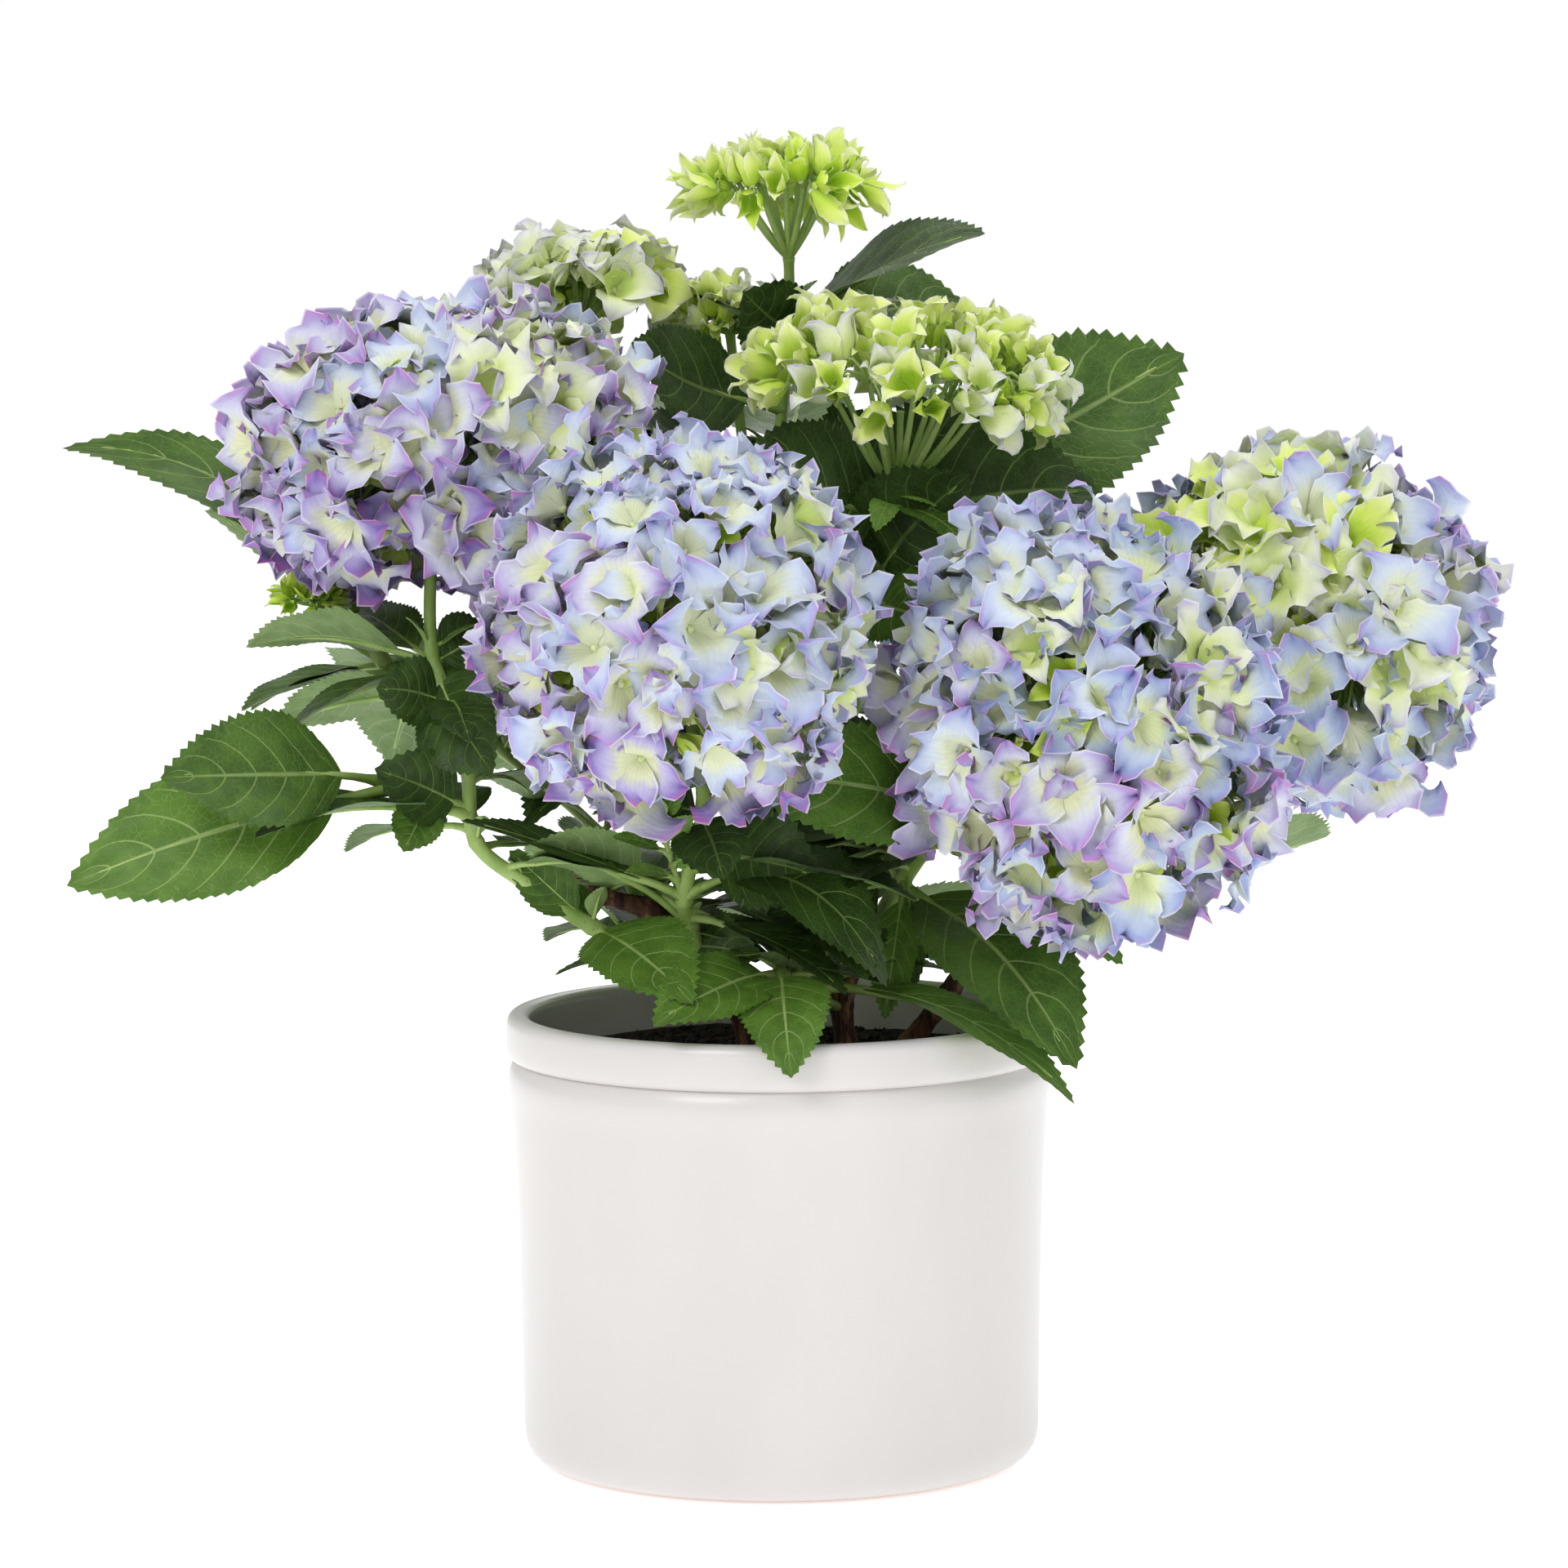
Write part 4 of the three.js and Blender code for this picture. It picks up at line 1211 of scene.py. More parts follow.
            leaf(4.5, (-30, 92, 396), 40, UP, 0.16, DARK),
            leaf(3.0, (-50, -4, 365), 38, FRONT_UP, -0.08, DARK),
            leaf(3.3, (10, 118, 372), 44, BACK_UP, -0.08),
        ),
        (),
        Bloom(Style.CORYMB, mm(3, 22, 443), mm(38, 35, 16), (0, -2), 66, 0.0080, Stage.BUD,
              (Share(BUD, 0.4), Share(LIME, 0.5, (0, 0, 0.2))), 30, 9),
    ),
    Shoot(
        "back_left", "back", 1.5, mm(4.2, 3), 2, 3.6, 19, 2,
        trail((-10, 60, 216), (-26, 70, 234), (-40, 80, 250), (-52, 90, 268), (-62, 102, 298)),
        (
            leaf(2.4, (-118, 128, 232), 50, BACK_UP),
            leaf(2.7, (-6, 158, 258), 50, BACK_UP),
            leaf(2.9, (-136, 106, 282), 46, BACK_UP, -0.08),
            leaf(3.0, (6, 132, 312), 46, BACK_UP, -0.08),
        ),
        (),
        Bloom(Style.DOME, mm(-62, 106, 304), mm(48, 46, 42), (20, 0), 84, 0.0145, Stage.OPEN,
              (Share(LILAC, 0.4), Share(BLUE, 0.3, (0, 0, -0.3)), Share(CREAM, 0.25, (0, 0, 0.2))), 46),
    ),
    Shoot(
        "back_right", "back", 1.9, mm(4.2, 3), 2, 3.3, 20, 2,
        trail((24, 60, 218), (44, 70, 232), (58, 78, 244), (72, 87, 258), (86, 98, 284)),
        (
            leaf(2.4, (54, 162, 222), 50, BACK_UP),
            leaf(2.6, (130, 124, 230), 42, BACK_UP, 0.02),
            leaf(3.0, (20, 150, 296), 48, BACK_UP, -0.08),
        ),
        (),
        Bloom(Style.DOME, mm(88, 102, 290), mm(48, 44, 42), (20, 0), 84, 0.0145, Stage.OPEN,
              (Share(BLUE, 0.45), Share(LILAC, 0.3, (0, 0, -0.3)), Share(CREAM, 0.25, (0, 0, 0.2))), 46),
    ),
    Shoot(
        "back_top", "back", 3, mm(3.4, 2.4), 2, 4, 21, 2,
        trail((2, 54, 242), (-5, 60, 302), (-10, 65, 340), (-13, 68, 362), (-16, 71, 391)),
        (
            leaf(2.3, (-24, 158, 322), 48, BACK_UP, 0.16),
            leaf(3.1, (50, 126, 350), 44, BACK_UP, -0.08),
        ),
        (),
        Bloom(Style.CORYMB, mm(-16, 71, 394), mm(27, 26, 18), (0, 0), 46, 0.0092, Stage.HALF,
              (Share(LIME, 0.4), Share(CREAM, 0.4), Share(SMOKE, 0.2)), 14, 5),
    ),
    Shoot(
        "low_left", "left", 1.3, mm(2.6, 1.8), 1, 3, 22, 1,
        trail((-32, 4, 173), (-43, 10, 179), (-54, 16, 184)),
        (
            leaf(1.6, (-6, -66, 185), 28, FRONT, tone=DARK),
            leaf(2.5, (-70, 94, 214), 42, BACK_UP),
            leaf(2.9, (-52, 104, 184), 42, BACK_UP),
            leaf(2.6, (-20, 52, 216), 34, BACK_UP, tone=DARK),
        ),
    ),
    Shoot(
        "low_front", "right", 0.8, mm(2.6, 1.8), 1, 3, 23, 0,
        trail((12, -26, 166), (6, -38, 172), (0, -48, 178)),
        (
            leaf(2.9, (4, -106, 149), 31, FRONT, 0.14, BRIGHT),
            leaf(2.6, (-42, -98, 166), 32, FRONT_UP, 0.1, BRIGHT),
            leaf(1.5, (100, -88, 138), 26, (0.05, -0.15, 1), 0.12, BRIGHT),
            leaf(1.0, (30, -75, 178), 34, (0.2, -0.6, 1), 0.32, DARK),
        ),
    ),
    Shoot(
        "low_back", "back", 0.8, mm(2.6, 1.8), 1, 3, 24, 2,
        trail((12, 54, 166), (14, 62, 171), (16, 70, 176)),
        (
            leaf(1.6, (-42, 136, 155), 42, BACK_UP, 0.14),
            leaf(2.4, (90, 112, 166), 44, BACK_UP, 0.12),
            leaf(2.9, (26, 150, 150), 44, BACK_UP, 0.16),
        ),
    ),
)


# --------------------------------------------------------------------------------------------- growth rules


@dataclass(frozen=True)
class Growth:
    """How leaves that no list names grow out of a stem, in a spiral; angles are in degrees."""

    length: float
    spread: float = 0.35
    width: float = 0.46
    turn: float = 137.5
    rise: float = 22.0
    lowest: float = -0.3
    droop: float = 0.18
    lean: float = 0.6
    margin: float = 0.2
    tries: int = 4
    mid_over: float = 0.5


@dataclass(frozen=True)
class CrownLimit:
    """The crown's outer ellipsoid and the clearance kept to blooms, limbs and the pot."""

    centre: Point = (0.0, 0.0, 0.300)
    radii: Point = (0.245, 0.165, 0.150)
    bloom_clear: float = 0.005
    limb_clear: float = 0.007
    pot_clear: float = 0.010
    pot_height: float = 0.158
    pot_radius: float = 0.095
    tested: tuple[float, ...] = (0.35, 0.6, 0.8, 1.0)

    def has_room(self, root: np.ndarray, tip: np.ndarray, limbs: Sequence[np.ndarray]) -> bool:
        """Whether a leaf stays in the crown and off every bloom, limb and the pot.

        Args:
            root: Where the leaf leaves its stem.
            tip: Where it ends.
            limbs: Points along every other limb.

        Returns:
            True where there is room.
        """
        for share in self.tested:
            spot = root + (tip - root) * share
            if not inside(spot, self.centre, self.radii, 0.0):
                return False
            over_pot = math.hypot(spot[0], spot[1]) < self.pot_radius + self.pot_clear
            if over_pot and spot[2] < self.pot_height + self.pot_clear:
                return False
            if any(inside(spot, s.bloom.centre, s.bloom.radii, self.bloom_clear) for s in SHOOTS if s.bloom):
                return False
            if any((np.linalg.norm(limb - spot, axis=1) <= self.limb_clear).any() for limb in limbs):
                return False
        return True


def inside(point: Sequence[float], centre: Point, radii: Point, margin: float) -> bool:
    """True where a point lies inside an ellipsoid grown by a margin."""
    return sum(((p - c) / (r + margin)) ** 2 for p, c, r in zip(point, centre, radii)) < 1


# ----------------------------------------------------------------------------------------------- the leaves


@dataclass
class LeafMaker:
    """Shapes leaf blades with teeth, sunken veins and a wavy rim, and their stalks with the rib beneath.

    Heights are shares of half a leaf's width, and `outline` gives the width's share from base to tip.
    """

    rows: int = 44
    columns: int = 8
    fold: float = 0.20
    fold_loss: float = 0.35
    thickness: float = 0.00045
    tooth: float = 0.050
    notch: float = 0.020
    tooth_lean: float = 0.6
    tooth_depths: Pair = (0.55, 1.4)
    leaf_depths: Pair = (0.6, 1.25)
    quilt: float = 0.030
    quilt_round: float = 0.55
    quilt_level: float = 0.6
    veins: Veins = Veins()
    wave: float = 0.06
    waves: float = 1.6
    nod: float = 0.22
    nod_from: float = 0.7
    sway: float = 0.10
    outline: tuple[Pair, ...] = (
        (0.0, 0.07), (0.03, 0.24), (0.08, 0.47), (0.15, 0.69), (0.24, 0.88), (0.34, 0.98), (0.43, 1.0),
        (0.55, 0.95), (0.66, 0.84), (0.76, 0.67), (0.85, 0.45), (0.92, 0.24), (0.97, 0.10), (1.0, 0.0),
    )
    stalk_rings: int = 14
    stalk_sides: int = 7
    stalk_end: float = 0.9
    stalk_radius: float = 0.00075
    stalk_gain: float = 0.0095
    stalk_foot: Pair = (0.15, 0.6)
    stalk_girths: tuple[float, ...] = (1.7, 1.25, 0.95, 0.9, 0.18)
    sink_ends: Pair = (0.9, 1.2)
    sinks: tuple[float, ...] = (0, 0, 0.75, 0.8)
    blade: Blade = field(init=False)
    stalk: Tube = field(init=False)

    def __post_init__(self) -> None:
        """Lays out the blade and the stalk."""
        self.blade = Blade(self.rows, self.columns)
        self.stalk = Tube(self.stalk_rings, self.stalk_sides)

    @staticmethod
    def midline(root: np.ndarray, leaf: Leaf, t: np.ndarray) -> tuple[np.ndarray, np.ndarray, np.ndarray]:
        """Finds the midline of a leaf.

        Args:
            root: Where the leaf leaves its stem.
            leaf: The leaf.
            t: Shares of the way from root to tip.

        Returns:
            The middle, the upward direction and the sideways direction at each share.
        """
        chord = np.array(leaf.tip) - root
        length = np.linalg.norm(chord)
        face = np.array(leaf.face, float)
        normal = face - chord * face.dot(chord) / length**2
        normal /= np.linalg.norm(normal)
        middle = root + chord * t[:, None] + normal * (4 * leaf.arch * length * t * (1 - t))[:, None]
        ahead = chord + normal * (4 * leaf.arch * length * (1 - 2 * t))[:, None]
        ahead /= np.linalg.norm(ahead, axis=1, keepdims=True)
        upward = normal - ahead * (ahead @ normal)[:, None]
        upward /= np.linalg.norm(upward, axis=1, keepdims=True)
        return middle, upward, np.cross(ahead, upward)

    def points(self, root: np.ndarray, leaf: Leaf, seed: int) -> np.ndarray:
        """Shapes one leaf's blade.

        Args:
            root: Where the leaf leaves its stem.
            leaf: The leaf.
            seed: The seed of what differs from leaf to leaf.

        Returns:
            The blade's points.
        """
        rng = np.random.default_rng(seed)
        blade, out, along = self.blade, self.blade.out, self.blade.along
        half = leaf.width / 2
        toothed = blade.rim & (blade.row > 2) & (blade.row < blade.rows - 1)
        at_tooth = blade.row % 2 == 0
        wide = np.interp(along, *zip(*self.outline))
        depth = (rng.uniform(*self.tooth_depths, blade.rows + 1) * rng.uniform(*self.leaf_depths))[blade.row]
        wide = wide + np.where(toothed, np.where(at_tooth, self.tooth, -self.notch) * depth, 0.0)
        rise = self.fold * (1 - self.fold_loss * along) * out * wide
        groove = np.abs(np.sin(math.pi * self.veins.phase(along, out))) ** self.quilt_round - self.quilt_level
        bulge = np.sin(math.pi * np.clip(out, 0, 1) ** 0.8) * np.minimum(wide * 2, 1)
        rise = rise + self.quilt * groove * bulge
        lean = np.where(blade.across > 0, rng.uniform(0, 1), rng.uniform(0, 1))
        rise = rise + self.wave * np.sin(2 * math.pi * (self.waves * along + lean)) * out**2 * wide
        span = np.linalg.norm(np.array(leaf.tip) - root) * (1 - leaf.stalk)
        nod = rng.uniform(0.0, self.nod) * np.clip(along - self.nod_from, 0, None) ** 2
        rise = rise - nod * span / half
        across = blade.across * wide + rng.uniform(-self.sway, self.sway) * np.sin(math.pi * along)
        lift = half * rise - blade.down * self.thickness
        leaning = along + np.where(toothed & at_tooth, self.tooth_lean / blade.rows, 0.0)
        middle, upward, sideways = self.midline(root, leaf, leaf.stalk + (1 - leaf.stalk) * leaning)
        return middle + sideways * (across * half)[:, None] + upward * lift[:, None]

    def stalk_points(self, root: np.ndarray, leaf: Leaf) -> np.ndarray:
        """Shapes a leaf's stalk, which runs on as the rib beneath its blade.

        Args:
            root: Where the leaf leaves its stem.
            leaf: The leaf.

        Returns:
            The stalk's points.
        """
        bare, end = leaf.stalk, self.stalk_end
        t = np.linspace(0.0, end, self.stalk_rings)
        middle, upward, _ = self.midline(root, leaf, t)
        thick = self.stalk_radius + self.stalk_gain * np.linalg.norm(np.array(leaf.tip) - root)
        places = [0, *(bare * share for share in self.stalk_foot), bare, end]
        radii = thick * np.interp(t, places, self.stalk_girths)
        places = [0, *(bare * share for share in self.sink_ends), end]
        sink = np.interp(t, places, self.sinks)
        return self.stalk.sweep(middle - upward * (radii * sink)[:, None], radii)


@dataclass
class Foliage:
    """The leaves of one shoot."""

    shoot: Shoot
    route: Route
    limbs: list[np.ndarray]
    maker: LeafMaker
    small_maker: LeafMaker
    small_under: float = 0.045
    limit: CrownLimit = CrownLimit()
    rule: Growth = Growth(0.074)
    fine_rule: Growth = Growth(0.050, spread=0.5, rise=60.0, lowest=-0.35, tries=14, mid_over=0.6)
    fine_count: int = 6
    fine_from: float = 0.4
    sprig_length: Pair = (0.010, 0.022)
    sprig_width: float = 0.42

    def leaves(self) -> list[tuple[np.ndarray, Leaf]]:
        """Gathers every leaf of the shoot.

        Returns:
            The root of each leaf, and the leaf.
        """
        shoot, point = self.shoot, self.route.point
        grown = self._grown(self.rule, shoot.grown, shoot.seed, shoot.enter)
        fine_start = max(shoot.enter - 1.0, self.fine_from)
        fine = self._grown(self.fine_rule, self.fine_count, shoot.seed + 100, fine_start)
        found = [(point(leaf.at), leaf) for leaf in (*shoot.leaves, *grown, *fine)]
        for twig in shoot.twigs:
            root, tip = point(twig.at), np.array(twig.tip)
            found += [(root + (tip - root) * leaf.at, leaf) for leaf in twig.leaves]
        return found + self._sprigs()

    def _grown(self, rule: Growth, count: int, seed: int, start: float) -> list[Leaf]:
        """Grows leaves out of the shoot by a rule.

        Args:
            rule: The rule.
            count: How many leaves are wanted.
            seed: The seed of the rule's numbers.
            start: The place on the shoot where the first leaf may grow.

        Returns:
            The leaves that found room.
        """
        dice = Dice(seed)
        leaves: list[Leaf] = []
        for k in range(count * rule.tries):
            if len(leaves) >= count:
                break
            at = start + rule.margin + (self.shoot.bloom_from - start - 2 * rule.margin) * dice.roll()
            turn = math.radians(rule.turn * (k + seed))
            rise = math.radians(rule.rise * (dice.roll() + rule.lowest))
            length = rule.length * (1 - rule.spread / 2 + rule.spread * dice.roll())
            out = np.array([math.cos(turn) * math.cos(rise), math.sin(turn) * math.cos(rise), math.sin(rise)])
            root = self.route.point(at)
            tip = root + out * length
            tip[2] -= rule.droop * length
            if self.limit.has_room(root, tip, self.limbs):
                face = (out[0] * rule.lean, out[1] * rule.lean, 1.0)
                tone = MID if length / rule.length % 1 > rule.mid_over else DARK
                leaves.append(Leaf(at, tuple(tip), rule.width * length, face, tone=tone))
        return leaves

    def _sprigs(self) -> list[tuple[np.ndarray, Leaf]]:
        """Grows small young leaves in pairs, where the shoot's leaves meet its stem.

        Returns:
            The root of each leaf, and the leaf.
        """
        found: list[tuple[np.ndarray, Leaf]] = []
        dice = Dice(self.shoot.seed + 300)
        low, high = self.sprig_length
        for number, place in enumerate(range(1, int(self.shoot.bloom_from) + 1)):
            for side in (0, 1):
                turn = math.pi * side + number * math.pi / 2 + dice.roll()
                out = np.array([math.cos(turn), math.sin(turn), 0.5 + dice.roll()])
                length = low + (high - low) * dice.roll()
                root = self.route.point(place)
                tip = root + out / np.linalg.norm(out) * length
                if self.limit.has_room(tip, tip, []):
                    face = (-out[0], -out[1], 1.2)
                    sprig = Leaf(place, tuple(tip), length * self.sprig_width, face, tone=YOUNG)
                    found.append((root, sprig))
        return found

    def build(self, materials: Sequence[Material], stalks: Batch) -> Piece:
        """Builds the shoot's blades and adds their stalks to the stalks' batch.

        Args:
            materials: The face of each tone, then the back of each tone.
            stalks: Where the stalks are gathered.

        Returns:
            The piece of blades.
        """
        batch = Batch()
        for number, (root, leaf) in enumerate(self.leaves()):
            small = np.linalg.norm(np.array(leaf.tip) - root) < self.small_under
            maker = self.small_maker if small else self.maker
            points = maker.points(root, leaf, self.shoot.seed * 100 + number)
            batch.add(points[None], maker.blade.net, np.array([leaf.tone.number]), under=len(LeafTone))
            stalks.add_one(maker.stalk_points(root, leaf), maker.stalk.net)
        piece = batch.build(f"leaves_{self.shoot.name}", materials)
        return settle(piece, [f"foliage_{self.shoot.name}"])


# ----------------------------------------------------------------------------------------- the flower heads


@dataclass(frozen=True)
class Opening:
    """The shape of a floret's sepals at one stage.

    A sepal's length and the bead's radius `eye` are shares of the floret's radius, and half a sepal's width
    is a share of its length. `midline` gives the angle over the floret's plane, in degrees, from base to tip.
    The two halves of a sepal rise by `cup` near its base and by `crease` at its tip, and `spread` is how many
    degrees the angles differ by.
    """

    length: float
    width: float
    midline: tuple[Pair, ...]
    cup: float
    crease: float
    ruffle: float
    spread: float
    eye: float


OPENINGS: dict[Stage, Opening] = {
    Stage.OPEN: Opening(
        1.38, 0.385, ((0, 50), (0.3, 42), (0.6, 8), (0.82, -26), (1, -72)), 0.42, 1.1, 0.25, 27, 0.10),
    Stage.CUP: Opening(
        1.50, 0.35, ((0, 32), (0.25, 62), (0.5, 56), (0.76, 8), (1, -48)), 0.5, 0.7, 0.13, 24, 0.10),
    Stage.HALF: Opening(
        1.72, 0.28, ((0, 18), (0.2, 68), (0.5, 88), (0.74, 58), (1, -24)), 0.6, 0.6, 0.08, 22, 0.10),
    Stage.BUD: Opening(
        2.00, 0.22, ((0, 24), (0.2, 64), (0.6, 84), (0.85, 66), (1, 20)), 0.7, 0.9, 0.05, 30, 0.12),
}


@dataclass
class Spread:
    """Random numbers that differ from one sepal to the next."""

    rng: np.random.Generator
    count: int

    def __call__(self, low: float, high: float) -> np.ndarray:
        """A column of numbers between low and high."""
        return self.rng.uniform(low, high, (self.count, 1))


@dataclass
class SepalMaker:
    """Shapes the sepals of a floret: broad, pointed, cupped blades with a ruffled, toothed edge."""

    rows: int = 10
    columns: int = 4
    sepals: int = 4
    fine: int = 4
    thickness: float = 0.014
    tooth: float = 0.075
    claw: float = 0.05
    overlap: float = 8.0
    curl: float = 0.20
    step_up: float = 0.03
    base_stray: float = 0.5
    tip_stray: float = 1.3
    lengths: Pair = (0.84, 1.12)
    widths: Pair = (0.88, 1.14)
    teeth: Pair = (0.1, 1.5)
    cups: Pair = (0.5, 1.3)
    creases: Pair = (-0.3, 1.6)
    ruffles: Pair = (0.5, 1.5)
    cycles: Pair = (1.8, 3.0)
    overlaps: Pair = (0.5, 1.5)
    turns: Pair = (-10, 10)
    notch: float = -0.6
    cup_loss: float = 0.8
    cup_curve: float = 1.3
    crease_from: float = 0.5
    ruffle_rise: float = 2.2
    ruffle_from: float = 0.25
    ruffle_loss: float = 0.4
    outline: tuple[Pair, ...] = (
        (0.0, 0.20), (0.1, 0.42), (0.2, 0.66), (0.32, 0.88), (0.45, 1.0), (0.55, 0.99), (0.66, 0.85),
        (0.77, 0.60), (0.87, 0.32), (0.94, 0.15), (1.0, 0.0),
    )
    blade: Blade = field(init=False)

    def __post_init__(self) -> None:
        """Lays out the blade."""
        self.blade = Blade(self.rows, self.columns)

    def _midline(self, opening: Opening, length: np.ndarray, draw: Spread) -> list[np.ndarray]:
        """Bends the midline of each sepal.

        Args:
            opening: The stage's shape.
            length: The length of each sepal.
            draw: Gives the numbers that differ.

        Returns:
            How far out, how high and at what angle each of a sepal's points lies.
        """
        places = np.linspace(0, 1, self.rows * self.fine + 1)[None]
        stray = draw(-self.base_stray, self.base_stray) * (1 - places)
        stray = stray + draw(-self.tip_stray, self.tip_stray) * places
        angle = np.radians(np.interp(places, *zip(*opening.midline)) + opening.spread * stray)
        step = length / (self.rows * self.fine)
        lines = (np.cumsum(np.cos(angle) * step, 1), np.cumsum(np.sin(angle) * step, 1), angle)
        return [line[:, :: self.fine][:, self.blade.row] for line in lines]

    def points(self, opening: Opening, florets: int, rng: np.random.Generator) -> np.ndarray:
        """Shapes sepals in the frames of their florets, whose radius is 1.

        Args:
            opening: The stage's shape.
            florets: The number of florets.
            rng: Where the numbers that differ by sepal come from.

        Returns:
            An array of sepals, points and coordinates, floret by floret.
        """
        blade, count = self.blade, florets * self.sepals
        draw = Spread(rng, count)
        length = opening.length * draw(*self.lengths)
        ahead, above, angle = self._midline(opening, length, draw)
        along, out, across = blade.along[None], blade.out[None], blade.across[None]
        half = np.interp(blade.along, *zip(*self.outline))[None] * opening.width * length
        wide = half * draw(*self.widths)
        teeth = rng.uniform(*self.teeth, (count, len(blade.row)))
        saw = np.where(blade.row % 2 == 0, 1.0, self.notch)[None] * teeth
        wide = wide * (1 + self.tooth * np.where(blade.rim & (blade.row > 2), saw, 0.0))
        late = np.clip((along - self.crease_from) / (1 - self.crease_from), 0, 1)
        cup = opening.cup * draw(*self.cups) * (1 - self.cup_loss * along)
        fold = cup + opening.crease * draw(*self.creases) * late
        lift = fold * out**self.cup_curve * wide
        phase = np.where(across > 0, draw(0, 1), draw(0, 1))
        ruffle = opening.ruffle * draw(*self.ruffles) * out**2
        ruffle = ruffle * np.clip(along * self.ruffle_rise - self.ruffle_from, 0, 1)
        ruffle = ruffle * (1 - self.ruffle_loss * along)
        lift = lift + ruffle * np.sin(2 * math.pi * (phase + along * draw(*self.cycles)))
        lift = lift - blade.down[None] * self.thickness
        x = self.claw + ahead - lift * np.sin(angle)
        y = across * wide + self.curl * draw(-1, 1) * along**3 * length
        z = above + lift * np.cos(angle) + y * np.sin(np.radians(self.overlap * draw(*self.overlaps)))
        quarter = np.tile(np.arange(self.sepals), florets)[:, None]
        z = z + self.step_up * (quarter % 2)
        turn = quarter * 2 * math.pi / self.sepals + np.radians(draw(*self.turns))
        return np.stack([x * np.cos(turn) - y * np.sin(turn), x * np.sin(turn) + y * np.cos(turn), z], -1)


@dataclass(frozen=True)
class HeadForm:
    """Where florets sit on a head.

    They sit `inset` floret radii below the outline, on an ellipsoid that is `flat` times as high, down to the
    direction `lowest`, and look `upward` by that much. The rays reach out to a share of it.
    """

    inset: float
    flat: float
    lowest: float
    upward: float
    reach: float


HEAD_FORMS: dict[Style, HeadForm] = {
    Style.DOME: HeadForm(0.80, 1.0, -0.86, 0.0, 0.42),
    Style.CORYMB: HeadForm(1.40, 0.9, -0.40, 0.35, 0.66),
}


@dataclass(frozen=True)
class Layer:
    """One layer of a head's florets: their sepals, number on a full ball, place, size, stage and colourings.

    The place is a share of the head's radii, and only a layer with `eyes` has beads.
    """

    maker: SepalMaker
    count: int
    share: float
    size: float
    stage: Stage
    colours: tuple[Share, ...]
    eyes: bool = True


